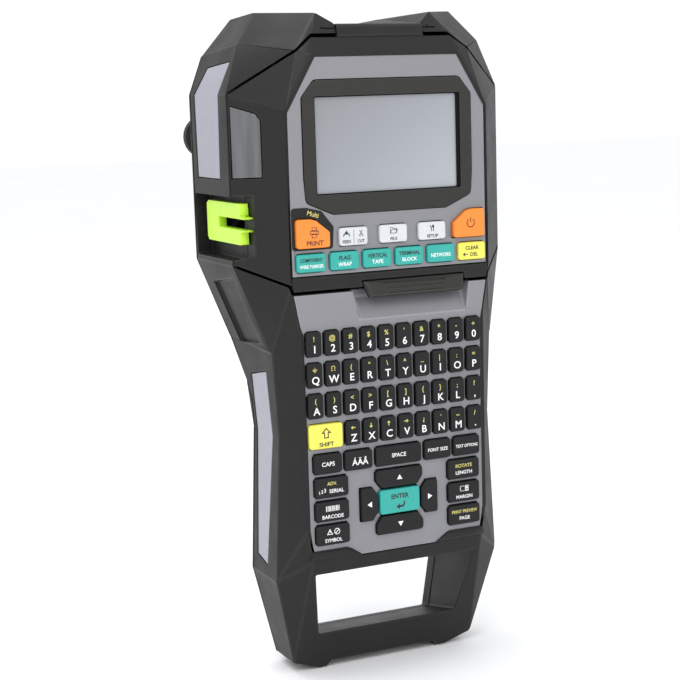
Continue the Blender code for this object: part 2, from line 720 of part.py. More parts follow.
def make_casing():
    """The housing, the rear cover and the lid, all cut from the faceted form."""
    panel = both_sides(PANEL_SIDE)
    lid_panel = both_sides(LID_PANEL_SIDE)
    hollow = cutter("hollow", lambda form: add_casing(form, WALL))
    handle_block = cut("handle_block", add_box, (-70, -5, -5), (70, 90, 62.0))
    boolean(hollow, handle_block)
    handle = cutter("handle_opening", opening)
    seats = cutter("strip_seats", strip_seats)
    recess = cutter("exit_recess", exit_recess)
    finger_pockets = cutter("finger_pockets", pockets)
    behind = [(depth + GAP, height) for depth, height in PARTING]
    front_side = cut("front_side", add_side_prism, [(-10, -5), *PARTING, (-10, 310)], -75, 75)
    rear_side = cut("rear_side", add_side_prism, [*behind, (95, 310), (95, -5)], -75, 75)
    lid_space = cut("lid_space", add_prism, lid_outline(SEAM), -5.0, LID_REAR)
    lid_keep = cut("lid_keep", add_prism, lid_outline(-SEAM), -5.0, LID_REAR - 0.5)
    bosses = cutter("hinge_bosses", hinge_bosses)
    boss_limit = cutter("boss_limit", add_casing)
    boolean(bosses, boss_limit, "INTERSECT")
    exit_block = cut("exit_block", add_box, (-72.0, 12.0, 193.2), (-58.4, 69.9, 227.0))
    boolean(exit_block, boss_limit, "INTERSECT")

    housing = piece("housing", "black", add_casing)
    boolean(housing, hollow)
    boolean(housing, bosses, "UNION")
    boolean(housing, exit_block, "UNION")
    boolean(housing, front_side, "INTERSECT")
    boolean(housing, lid_space)
    boolean(housing, cutter("lug_space", lug_space))
    boolean(housing, cut("housing_pin_bore", add_pin, 28.4, PIN_RADIUS + GAP))
    boolean(housing, handle)
    boolean(housing, seats)
    boolean(housing, finger_pockets)
    boolean(housing, recess)
    boolean(housing, cut("panel_seat", add_prism, grown(panel, GAP), -3.0, PANEL_BACK + GAP))
    boolean(housing, cut("panel_hole", add_prism, both_sides(PANEL_HOLE_SIDE), -3.0, 9.0))
    boolean(housing, cut("scoop_space", add_prism, grown(SCOOP_BLOCK, GAP), -3.0, SCOOP_BACK + 2.6))
    boolean(housing, cut("port_hole", add_prism_x, PORT, 60.0, 75.0, GAP))

    rear = piece("rear_cover", "black", add_casing)
    boolean(rear, hollow)
    boolean(rear, rear_side, "INTERSECT")
    boolean(rear, handle)
    boolean(rear, cutter("door_hole", door_hole))

    lid = piece("lid", "black", add_casing)
    boolean(lid, hollow)
    boolean(lid, exit_block, "UNION")
    boolean(lid, lid_keep, "INTERSECT")
    boolean(lid, cut("crown_clear", add_box, (-45, -5, PIN_HEIGHT - CROWN_REACH), (45, 30, 310)))
    boolean(lid, cutter("lid_lug", lid_lug), "UNION")
    boolean(lid, cut("lug_bore", add_pin, 30.0, PIN_RADIUS + GAP))
    boolean(lid, recess)
    boolean(lid, cut("lid_panel_seat", add_prism, grown(lid_panel, GAP), -3.0, PANEL_BACK + GAP))
    boolean(lid, cut("lid_panel_hole", add_prism, both_sides(LID_HOLE_SIDE), -3.0, 9.0))
    boolean(lid, cut("window_hole", add_chamfer_slab, grown(WINDOW, -1.2), 2.0, -6.0))
    boolean(lid, cut("window_seat", add_chamfer_slab, grown(WINDOW, GAP), 2.0, -1.3 - GAP))
    boolean(lid, cut("latch_space", add_prism, grown(LATCH, GAP), -3.0, 9.0))


# The window in the lid's left chamfer, as (distance along the chamfer from its ridge, height).
WINDOW = [(13.0, 233.0), (27.6, 232.6), (27.6, 264.0), (15.4, 260.6), (13.0, 257.6)]


def add_chamfer_slab(form, outline, outside, inside):
    """A slab parallel to the lid's left chamfer, between two distances from its face."""
    run, drop = 68.5 - 49.5, LID_REAR - FRONT
    long = math.hypot(run, drop)
    rings = []
    for offset in (outside, inside):
        points = []
        for s, height in outline:
            x = -(49.5 + s * run / long) - offset * drop / long
            depth = FRONT + s * drop / long - offset * run / long
            points.append((x, depth, height))
        rings.append(points)
    add_loft(form, rings)


LATCH = [(-11.6, 176.8), (35.0, 176.8), (36.6, 178.4), (36.6, 184.6), (-14.8, 184.6)]
LATCH_PIVOT = (10.9, 1.6, 184.4)
PORT = [(40.0, 205.0), (62.0, 205.0), (62.0, 217.0), (40.0, 217.0)]


def add_prism_x(form, outline, left, right, growth=0.0):
    add_side_prism(form, grown(outline, growth), left, right)


def hinge_bosses(form):
    for side in (1, -1):
        left, right = sorted((side * 21.9, side * 32.0))
        add_box(form, (left, 0.0, 294.9), (right, 18.0, 303.0))


def lug_space(form):
    """The room that the lid's barrel turns in."""
    half = LUG_HALF_WIDTH + 0.6
    add_box(form, (-half, -5.0, 286.0), (half, PIN_DEPTH + LUG_RADIUS + 0.8, 310.0))


def lid_lug(form):
    """The lid's hinge barrel and the neck that joins it to the lid's front wall."""
    turns = [math.radians(angle) for angle in range(150, -76, -15)]
    arc = [(PIN_DEPTH + LUG_RADIUS * math.cos(a), PIN_HEIGHT + LUG_RADIUS * math.sin(a)) for a in turns]
    outline = [(4.2, 289.2), (7.0, 293.6)] + arc + [(8.6, 289.2)]
    add_side_prism(form, outline, -LUG_HALF_WIDTH, LUG_HALF_WIDTH)


def add_pin(form, reach, radius):
    add_cross_rod(form, PIN_DEPTH, PIN_HEIGHT, -reach, reach, radius)


def make_front():
    panel = both_sides(PANEL_SIDE)
    lid_panel = both_sides(LID_PANEL_SIDE)
    made = piece("keyboard_panel", "silver", lambda form: add_prism(form, panel, PANEL_TOP, PANEL_BACK))
    boolean(made, cutter("base_key_holes", base_holes))
    middle = (PANEL_TOP + PANEL_BACK) / 2
    boolean(made, cut("scoop_block", add_prism, SCOOP_BLOCK, middle, SCOOP_BACK), "UNION")
    boolean(made, cutter("scoop_dish", scoop_dish))
    made = piece("lid_panel", "silver", lambda form: add_prism(form, lid_panel, PANEL_TOP, PANEL_BACK))
    boolean(made, cutter("lid_key_holes", lambda form: key_holes(form, LID_KEYS)))
    bezel = rounded(both_sides(BEZEL_SIDE), BEZEL_ROUND)
    boolean(made, cut("bezel_hole", add_prism, grown(bezel, GAP), -2.0, 6.0))
    made = piece("display_bezel", "olive", lambda form: add_prism(form, bezel, BEZEL_TOP, BEZEL_BACK))
    half, low, high = SCREEN
    screen = [(half, low), (half, high), (-half, high), (-half, low)]
    window = rounded(screen, SCREEN_ROUND, 3)
    boolean(made, cut("screen_hole", add_prism, window, -2.0, 6.0))
    boolean(made, cut("lens_seat", add_prism, grown(screen, LENS_LIP + GAP), LENS_SEAT, 6.0))
    lens = grown(screen, LENS_LIP)
    piece("display_lens", "screen", lambda form: add_prism(form, lens, LENS_SEAT + GAP, LENS_BACK))
    piece("display_board", "board", display_board)
    piece("cassette_window", "smoke", lambda form: add_chamfer_slab(form, WINDOW, 0.0, -1.3))
    made = piece("latch_tab", "olive", latch)
    boolean(made, cutter("latch_grooves", latch_grooves))
    pivot("latch_tab", *LATCH_PIVOT)
    piece("hinge_pin", "steel", lambda form: add_pin(form, 28.0, PIN_RADIUS))


def display_board(form):
    """The lid's circuit board with the display in front of it, as seen from the side."""
    outline = [(BOARD_TOP, 190.5), (BOARD_TOP, 219.5), (4.4, 219.5), (4.4, 271.0), (9.6, 271.0), (9.6, 217.0)]
    add_side_prism(form, outline + [(BOARD_BACK, 217.0), (BOARD_BACK, 190.5)], -42.0, 42.0)


def scoop_dish(form):
    """The finger well under the pull tab. Its floor slopes in from the bottom edge."""
    front, back = SCOOP_DEPTHS
    add_loft(form, [ring(SCOOP_MOUTH, front), ring(SCOOP_FLOOR, back)])


def latch(form):
    """The grooved pull tab, with its front edges chamfered."""
    add_loft(form, [ring(LATCH, 3.6), ring(LATCH, 1.6), ring(grown(LATCH, -1.1), 0.7)])


def latch_grooves(form):
    for step in range(3):
        height = 183.2 - 2.2 * step
        left = -6.0 + 1.9 * step
        add_box(form, (left, 0.0, height - 0.35), (26.5, 1.3, height + 0.35))


# Boxes as two opposite corners.
KEYPAD_BOARD = ((-42.5, BOARD_TOP, 66.0), (42.5, BOARD_BACK, 163.0))
MAIN_BOARD = ((-52.0, 67.6, 196.0), (52.0, 69.2, 278.0))
BATTERY = ((-28.5, 14.0, 71.5), (28.5, BACK_LOWER - 5.0, 152.0))
CHASSIS = ((-52.0, 27.0, 190.0), (40.0, 62.0, 193.0))


def make_boards():
    piece("keypad_board", "board", lambda form: add_box(form, *KEYPAD_BOARD))
    piece("main_board", "board", lambda form: add_box(form, *MAIN_BOARD))


def make_power():
    piece("battery_pack", "cell", lambda form: add_box(form, *BATTERY))

    def door(form):
        low, high, rim = DOOR_LOW, DOOR_HIGH, BACK_LOWER - 1.2
        inside = BACK_LOWER - DOOR_THICK
        outline = [(inside, low), (BACK_LOWER, low), (BACK_LOWER, high - 1.2), (rim, high), (inside, high)]
        add_side_prism(form, outline, -DOOR_HALF, DOOR_HALF)

    piece("battery_door", "black", door)
    pivot("battery_door", 0.0, BACK_LOWER - DOOR_PIVOT_IN, DOOR_HIGH - 1.6)
    piece("port_cover", "rubber", lambda form: add_prism_x(form, PORT, 65.0, 68.4))


def make_label_path():
    z = EXIT_HEIGHT
    guide = piece("exit_guide", "lime", exit_guide)
    slot = [(13.0, z - 2.4), (47.0, z - 2.4), (47.0, z + 2.4), (13.0, z + 2.4)]
    boolean(guide, cut("exit_slot", add_side_prism, slot, -75.0, -50.0))
    wall_slot = [(26.0, z - 4.0), (50.0, z - 4.0), (50.0, z + 4.0), (26.0, z + 4.0)]
    housing = bpy.data.objects["housing"]
    boolean(housing, cut("exit_wall_slot", add_side_prism, wall_slot, -64.0, -50.0))
    piece("print_head", "grey", lambda form: add_box(form, (-50.0, 29.0, z + 0.4), (-43.5, 60.0, z + 7.5)))
    roller_z = z - ROLLER_RADIUS

    def roller(form):
        add_rod(form, ROLLER_X, roller_z, 29.0, 60.0, ROLLER_RADIUS)

    def spindle(form):
        add_rod(form, ROLLER_X, roller_z, 26.5, GEAR_FRONT, 2.0, 16)

    made = piece("platen_roller", "rubber", roller)
    boolean(made, cutter("roller_spindle", spindle), "UNION")
    pivot("platen_roller", ROLLER_X, GEAR_FRONT, roller_z)
    span = GEAR_MODULE * (ROLLER_TEETH + PINION_TEETH) / 2 + 0.12
    piece("roller_gear", "grey", lambda form: add_gear(form, ROLLER_X, roller_z, ROLLER_TEETH, 0.0))
    half_tooth = math.pi / PINION_TEETH
    motor_x = ROLLER_X + span
    piece("motor_pinion", "steel", lambda form: add_gear(form, motor_x, roller_z, PINION_TEETH, half_tooth))
    pivot("roller_gear", ROLLER_X, GEAR_FRONT, roller_z)
    pivot("motor_pinion", motor_x, GEAR_FRONT, roller_z)
    piece("feed_motor", "grey", lambda form: add_rod(form, motor_x, roller_z, 44.0, 62.6, 7.8))
    piece("cutter_blade", "steel", cutter_blade)
    pivot("cutter_blade", CUTTER_X, 41.0, z)
    piece("label_cassette", "grey", cassette)
    piece("print_chassis", "grey", lambda form: add_box(form, *CHASSIS))


def exit_guide(form):
    """The label exit's C-shaped bezel, open towards the front."""
    z = EXIT_HEIGHT
    outline = [
        (20.0, z - 9.2), (60.5, z - 9.2), (62.0, z - 7.5), (62.0, z + 8.0), (60.0, z + 9.2), (20.0, z + 9.2),
        (20.0, z + 4.0), (19.2, z + 3.4), (14.6, z + 3.2), (14.6, z - 3.2), (19.2, z - 3.4), (20.0, z - 4.0),
    ]  # fmt: skip
    add_side_prism(form, outline, -65.6, EXIT_RECESS_X - GAP)


def add_gear(form, x, height, teeth, turn):
    """A spur gear whose teeth are flat-sided."""
    pitch = GEAR_MODULE * teeth / 2
    root, tip = pitch - 1.15 * GEAR_MODULE, pitch + 0.8 * GEAR_MODULE
    step = 2 * math.pi / teeth
    outline = []
    for tooth in range(teeth):
        for share, radius in ((-0.33, root), (-0.13, tip), (0.13, tip), (0.33, root)):
            angle = turn + (tooth + share) * step
            outline.append((x + radius * math.cos(angle), height + radius * math.sin(angle)))
    add_prism(form, outline, GEAR_FRONT + GAP, GEAR_BACK)


def cutter_blade(form):
    """A thin blade above the label path, with a bevelled lower edge."""
    z = EXIT_HEIGHT
    outline = [(27.0, z + 4.4), (56.0, z + 2.6), (56.0, z + 16.0), (27.0, z + 16.0)]
    add_side_prism(form, outline, CUTTER_X - 0.5, CUTTER_X + 0.5)


def cassette(form):
    """The label cassette's case, as it drops in from the front."""
    outline = [(-50, 224), (44, 224), (48, 230), (48, 276), (42, 283), (-44, 283), (-50, 276)]
    add_prism(form, outline, 26.0, 65.0)


def make_lid_axis():
    """An empty on the hinge pin carries the lid, what is fixed in it, its keys and its latch."""
    axis = bpy.data.objects.new("lid_axis", None)
    axis.location = at(0.0, PIN_DEPTH, PIN_HEIGHT)
    bpy.context.scene.collection.objects.link(axis)
    fixed = ["lid", "lid_panel", "display_bezel", "display_lens", "display_board", "cassette_window"]
    for name in fixed + ["latch_tab"] + [key[0] for key in LID_KEYS]:
        thing = bpy.data.objects[name]
        thing.parent = axis
        thing.matrix_parent_inverse = Matrix.Translation(-axis.location)


def make_feet():
    for side, word in ((1, "right"), (-1, "left")):
        piece(f"rear_foot_{word}", "rubber", lambda form: rear_foot(form, side * FOOT_X))


def rear_foot(form, x):
    """A stepped round stand-off on the back."""
    sides = 28
    turns = [2 * math.pi * step / sides for step in range(sides)]
    rings = []
    for depth, radius in ((BACK_UPPER + GAP, 7.6), (79.4, 7.6), (79.4, 10.0), (83.2, 10.0), (84.0, 9.2)):
        rings.append([(x + radius * math.cos(a), depth, FOOT_HEIGHT + radius * math.sin(a)) for a in turns])
    add_loft(form, rings)


clear_scene()
make_casing()
make_front()
make_keys()
make_strips()
make_boards()
make_power()
make_label_path()
make_feet()
make_lid_axis()
shade_round("hinge_pin", "platen_roller", "feed_motor", "rear_foot_right", "rear_foot_left")
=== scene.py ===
"""Looks of the handheld label maker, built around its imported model.

Run as a script, it makes every piece in order.
"""

import json
import math

import bmesh
import bpy
import numpy as np
from mathutils import Matrix, Vector
from bpy.props import FloatProperty, FloatVectorProperty, IntProperty, PointerProperty


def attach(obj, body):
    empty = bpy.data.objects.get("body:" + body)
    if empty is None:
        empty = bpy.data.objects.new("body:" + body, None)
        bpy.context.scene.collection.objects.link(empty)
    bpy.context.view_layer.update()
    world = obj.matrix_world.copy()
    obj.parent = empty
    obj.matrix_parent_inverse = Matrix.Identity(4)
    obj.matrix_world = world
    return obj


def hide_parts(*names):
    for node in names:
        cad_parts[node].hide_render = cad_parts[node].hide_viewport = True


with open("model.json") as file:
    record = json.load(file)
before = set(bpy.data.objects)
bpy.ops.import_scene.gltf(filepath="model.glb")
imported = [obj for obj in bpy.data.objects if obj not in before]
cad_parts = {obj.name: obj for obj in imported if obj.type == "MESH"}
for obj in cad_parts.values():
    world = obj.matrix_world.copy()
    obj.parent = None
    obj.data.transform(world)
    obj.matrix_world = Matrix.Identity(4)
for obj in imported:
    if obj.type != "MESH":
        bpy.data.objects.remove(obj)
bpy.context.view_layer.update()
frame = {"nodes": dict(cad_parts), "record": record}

MM = 0.001
# A place is (x, depth behind the key tops, height above the feet) in millimetres.
HALF_DEPTH = 41.7

bl_info = {
    "name": "Handheld Label Maker",
    "version": (1, 0, 0),
    "blender": (4, 5, 0),
    "location": "View3D > Sidebar > Label Maker",
    "description": "Builds the casing, keys, display and print mechanism of a handheld label maker",
    "category": "Add Mesh",
}


# ---------------------------------------------------------------- settings


def length(name, description, default, top=0.05):
    """A setting in metres."""
    return FloatProperty(name=name, description=description, default=default, min=0.0, max=top, unit="LENGTH")


def colour(name, description, default):
    """A setting that holds a linear colour."""
    return FloatVectorProperty(
        name=name, description=description, default=default, subtype="COLOR", size=3, min=0.0, max=1.0
    )


class LabelMakerSizes(bpy.types.PropertyGroup):
    """Sizes that a user would change."""

    casing_edge: length("Casing edge", "Width of the rounding along the casing's edges", 0.0009)
    panel_edge: length("Panel edge", "Width of the rounding along the silver panels' edges", 0.0003)
    key_corner: length("Key corner", "Radius of a key cap's corners in the front view", 0.0013)
    key_round: length("Key rounding", "Radius of a key cap's upper edge", 0.0006)
    legend_height: length("Legend height", "How far a printed legend stands proud", 0.00004)
    edge_steps: IntProperty(
        name="Edge steps", description="Facets in a rounded edge", default=3, min=1, max=8
    )


class LabelMakerColours(bpy.types.PropertyGroup):
    """Colours that a user would change."""

    casing: colour("Casing", "Grained plastic of the housing and the lid", (0.0104, 0.0100, 0.0096))
    panel: colour("Panels", "Satin paint round the keys and the display", (0.225, 0.225, 0.240))
    bezel: colour("Bezel", "Display surround and latch tab", (0.018, 0.0172, 0.0145))
    black_key: colour("Black keys", "Letter and option keys", (0.006, 0.006, 0.0066))
    orange_key: colour("Orange keys", "Print and power", (0.86, 0.235, 0.025))
    white_key: colour("White keys", "Feed, file and setup", (0.60, 0.61, 0.64))
    teal_key: colour("Teal keys", "Label types and enter", (0.022, 0.36, 0.31))
    yellow_key: colour("Yellow keys", "Shift and clear", (0.80, 0.74, 0.10))
    guide: colour("Exit guide", "Bright plastic of the label exit", (0.50, 0.83, 0.035))
    strip: colour("Strips", "Reflective strips on the flanks", (0.255, 0.256, 0.308))


def sizes():
    """The sizes as the sidebar has them."""
    return bpy.context.scene.label_maker_sizes


def colours():
    """The colours as the sidebar has them."""
    return bpy.context.scene.label_maker_colours


# ---------------------------------------------------------------- finishes


NOISE_ROUGHNESS = 0.55
LEAST_ROUGHNESS = 0.02


class Finish:
    """A procedural material under construction: its nodes, its shader and its object coordinates."""

    def __init__(self, name, base, rough, metal=0.0, **sockets):
        self.material = bpy.data.materials.new(name)
        self.material.use_nodes = True
        self.tree = self.material.node_tree
        self.shader = self.tree.nodes["Principled BSDF"]
        self.base = tuple(base)
        self.rough = rough
        self.set("Base Color", (*self.base, 1.0))
        self.set("Roughness", rough)
        self.set("Metallic", metal)
        for socket, value in sockets.items():
            self.set(socket.replace("_", " "), value)
        self.where = self.add("ShaderNodeTexCoord").outputs["Object"]

    def set(self, socket, value):
        self.shader.inputs[socket].default_value = value

    def add(self, kind, **values):
        """A new node with some of its settings."""
        made = self.tree.nodes.new(kind)
        for key, value in values.items():
            setattr(made, key, value)
        return made

    def link(self, out, into):
        """A wire from one socket to another."""
        self.tree.links.new(out, into)

    def stretched(self, scale):
        """Object coordinates scaled along each axis."""
        node = self.add("ShaderNodeMapping")
        node.inputs["Scale"].default_value = scale
        self.link(self.where, node.inputs["Vector"])
        return node.outputs["Vector"]

    def noise(self, size, detail=3.0, where=None):
        """Cloudy values whose features are about this many metres across."""
        node = self.add("ShaderNodeTexNoise")
        node.inputs["Scale"].default_value = 1.0 / size
        node.inputs["Detail"].default_value = detail
        node.inputs["Roughness"].default_value = NOISE_ROUGHNESS
        self.link(where or self.where, node.inputs["Vector"])
        return node.outputs["Fac"]

    def cells(self, size, feature="F1", where=None):
        """Cell values whose cells are about this many metres across."""
        node = self.add("ShaderNodeTexVoronoi", feature=feature)
        node.inputs["Scale"].default_value = 1.0 / size
        self.link(where or self.where, node.inputs["Vector"])
        return node.outputs["Distance"]

    def upright(self):
        """Object coordinates turned so that a flat pattern stands facing the front."""
        node = self.add("ShaderNodeMapping")
        node.inputs["Rotation"].default_value = (math.pi / 2, 0.0, 0.0)
        self.link(self.where, node.inputs["Vector"])
        return node.outputs["Vector"]

    def bricks(self, where, scale, gap, width, height, offset):
        """Rows of oblongs: high in the gaps and low on the oblongs."""
        node = self.add("ShaderNodeTexBrick", offset=offset)
        sizes_given = (("Scale", scale), ("Mortar Size", gap), ("Brick Width", width), ("Row Height", height))
        for socket, value in sizes_given:
            node.inputs[socket].default_value = value
        self.link(where, node.inputs["Vector"])
        return node.outputs["Fac"]

    def ramp(self, value, stops):
        """Colours that change over a value, from its stops."""
        node = self.add("ShaderNodeValToRGB")
        elements = node.color_ramp.elements
        while len(elements) < len(stops):
            elements.new(0.5)
        for element, (place, rgb) in zip(elements, stops):
            element.position = place
            element.color = (*rgb, 1.0)
        self.link(value, node.inputs["Fac"])
        return node.outputs["Color"]

    def spread(self, value, low, high, start=0.25, end=0.75):
        """The value mapped from start..end to low..high."""
        node = self.add("ShaderNodeMapRange")
        for socket, number in (("From Min", start), ("From Max", end), ("To Min", low), ("To Max", high)):
            node.inputs[socket].default_value = number
        self.link(value, node.inputs["Value"])
        return node.outputs["Result"]

    def blend(self, fac, one, two):
        """A mix of two colours, each given as a tuple or a link."""
        node = self.add("ShaderNodeMix", data_type="RGBA")
        self.link(fac, node.inputs[0])
        for index, colour_or_link in ((6, one), (7, two)):
            if isinstance(colour_or_link, tuple):
                node.inputs[index].default_value = (*colour_or_link[:3], 1.0)
            else:
                self.link(colour_or_link, node.inputs[index])
        return node.outputs[2]

    def bump(self, value, height, strength=1.0, under=None):
        """A normal that follows a value's relief, laid over another where one is given."""
        node = self.add("ShaderNodeBump")
        node.inputs["Distance"].default_value = height
        node.inputs["Strength"].default_value = strength
        self.link(value, node.inputs["Height"])
        if under:
            self.link(under, node.inputs["Normal"])
        return node.outputs["Normal"]

    def shade(self, value, amount, start=0.3, end=0.7):
        """Colour that wanders round the base by a share of it."""
        low = tuple(c * (1 - amount) for c in self.base)
        high = tuple(min(1.0, c * (1 + amount)) for c in self.base)
        self.link(self.ramp(value, [(start, low), (end, high)]), self.shader.inputs["Base Color"])

    def gloss(self, value, amount):
        """Roughness that wanders round its middle value."""
        low, high = max(LEAST_ROUGHNESS, self.rough - amount), min(1.0, self.rough + amount)
        self.link(self.spread(value, low, high), self.shader.inputs["Roughness"])

    def relief(self, normal):
        """The finished material, its surface following a normal."""
        self.link(normal, self.shader.inputs["Normal"])
        return self.material


def grained(name, base, rough=0.5, grain=0.0005, height=0.00006, mottle=0.18, **sockets):
    """Moulded plastic: spark-eroded grain, faint mottling and uneven gloss where hands rub it."""
    made = Finish(name, base, rough, **sockets)
    made.shade(made.noise(0.0011, 5.0), mottle)
    made.gloss(made.noise(0.016, 4.0), 0.07)
    pits = made.bump(made.cells(grain * 1.7, "SMOOTH_F1"), height, 0.55)
    return made.relief(made.bump(made.noise(grain, 3.0), height * 0.8, 0.6, pits))


def smooth_moulded(name, base, rough=0.35, **sockets):
    """Unpainted smooth plastic with faint flow marks."""
    made = Finish(name, base, rough, **sockets)
    made.shade(made.noise(0.006, 4.0, made.stretched((1.0, 1.0, 0.3))), 0.06)
    made.gloss(made.noise(0.003, 3.0), 0.05)
    return made.relief(made.bump(made.noise(0.0012, 3.0), 0.00002, 0.35))


def satin_paint(name, base):
    """Metallic satin paint: fine flakes over orange peel."""
    made = Finish(name, base, 0.42, 0.25)
    made.shade(made.noise(0.0002, 2.0), 0.10)
    made.gloss(made.noise(0.0004, 2.0), 0.06)
    return made.relief(made.bump(made.noise(0.0009, 2.0), 0.00002, 0.3))


def silicone(name, base, rough=0.55, **sockets):
    """Silicone key cap with a matt sprayed top."""
    made = Finish(name, base, rough, **sockets)
    made.shade(made.noise(0.0007, 4.0), 0.07)
    made.gloss(made.noise(0.004, 3.0), 0.08)
    return made.relief(made.bump(made.noise(0.00022, 2.0), 0.00002, 0.4))


def ink(name, base):
    """Printed ink, a little thin in places."""
    made = Finish(name, base, 0.5)
    made.shade(made.noise(0.0004, 3.0), 0.08)
    return made.relief(made.bump(made.noise(0.0002, 2.0), 0.000006, 0.3))


def liquid_crystal(name):
    """The display, unlit: cool grey with a painted reflection that pales it towards the lower right, and a
    fine grid of picture cells.
    """
    made = Finish(name, (0.35, 0.385, 0.44), 0.3, Coat_Weight=0.5, Coat_Roughness=0.08)
    place = made.add("ShaderNodeSeparateXYZ")
    made.link(made.where, place.inputs[0])
    # painted reflection: paler towards the right and towards the bottom
    across = made.spread(place.outputs["X"], 0.0, 0.55, -0.036, 0.036)
    up = made.spread(place.outputs["Z"], 0.45, 0.0, 0.224, 0.267)
    total = made.add("ShaderNodeMath", operation="ADD")
    made.link(across, total.inputs[0])
    made.link(up, total.inputs[1])
    greys = [(0.0, (0.215, 0.225, 0.24)), (0.5, (0.28, 0.295, 0.32)), (1.0, (0.38, 0.40, 0.43))]
    painted_reflection = made.ramp(total.outputs[0], greys)
    grid = made.bricks(made.upright(), 2600.0, 0.06, 1.0, 1.0, 0.0)
    lines = made.spread(grid, 0.0, 0.06, 0.0, 1.0)
    shown = made.blend(lines, painted_reflection, (0.30, 0.33, 0.36))
    made.link(shown, made.shader.inputs["Base Color"])
    return made.relief(made.bump(made.noise(0.02, 2.0), 0.00004, 0.15))


def prism_film(name, base):
    """Retroreflective film: pale pearl, cloudy where the prism cells lie under a clear face."""
    made = Finish(name, base, 0.34, 0.1, Coat_Weight=0.4, Coat_Roughness=0.12)
    made.shade(made.noise(0.0014, 3.0), 0.05)
    made.gloss(made.noise(0.004, 2.0), 0.06)
    return made.relief(made.bump(made.cells(0.0011, "SMOOTH_F1"), 0.00001, 0.2))


def smoked_clear(name):
    """Smoke-tinted clear plastic, frosted inside in upright streaks."""
    made = Finish(name, (0.12, 0.123, 0.13), 0.14, Transmission_Weight=0.3, IOR=1.49, Coat_Weight=1.0)
    streaks = made.noise(0.0035, 3.0, made.stretched((1.0, 1.0, 0.06)))
    made.shade(streaks, 0.22, 0.38, 0.62)
    made.gloss(made.noise(0.002, 3.0), 0.04)
    return made.relief(made.bump(streaks, 0.00001, 0.1))


def brushed(name, base, rough=0.3, along=(1.0, 1.0, 30.0)):
    """Ground steel, streaked across one direction."""
    made = Finish(name, base, rough, 1.0)
    streaks = made.noise(0.006, 5.0, made.stretched(along))
    made.shade(streaks, 0.12)
    made.gloss(streaks, 0.10)
    return made.relief(made.bump(streaks, 0.00002, 0.4))


def soft_rubber(name, base):
    """Matt rubber with dust in its pores."""
    made = Finish(name, base, 0.82)
    made.shade(made.noise(0.0008, 5.0), 0.25)
    made.gloss(made.noise(0.005, 3.0), 0.08)
    return made.relief(made.bump(made.noise(0.0003, 3.0), 0.00005, 0.5))


def solder_mask(name):
    """Green circuit board: copper tracks under the mask and rows of tinned pads."""
    made = Finish(name, (0.015, 0.11, 0.045), 0.34, Coat_Weight=0.4, Coat_Roughness=0.2)
    front_view = made.upright()
    tracks = made.bricks(front_view, 190.0, 0.035, 2.3, 0.42, 0.37)
    under = made.blend(tracks, (0.012, 0.085, 0.035), (0.035, 0.20, 0.075))
    pads = made.cells(0.0042, "F1", front_view)
    spot = made.spread(pads, 1.0, 0.0, 0.12, 0.15)
    made.link(made.blend(spot, under, (0.62, 0.60, 0.52)), made.shader.inputs["Base Color"])
    made.gloss(made.noise(0.003, 3.0), 0.06)
    return made.relief(made.bump(tracks, 0.00003, 0.5))


def shrink_wrap(name):
    """Battery sleeve: dark film with soft wrinkles and a printed band."""
    made = Finish(name, (0.03, 0.035, 0.06), 0.28, Coat_Weight=0.5, Coat_Roughness=0.15)
    place = made.add("ShaderNodeSeparateXYZ")
    made.link(made.where, place.inputs[0])
    band = made.spread(place.outputs["Z"], 0.0, 1.0, 0.1010, 0.1014)
    made.link(made.blend(band, (0.03, 0.035, 0.06), (0.75, 0.42, 0.05)), made.shader.inputs["Base Color"])
    return made.relief(made.bump(made.noise(0.008, 4.0, made.stretched((1, 1, 3))), 0.0002, 0.35))


FINISHES = {}


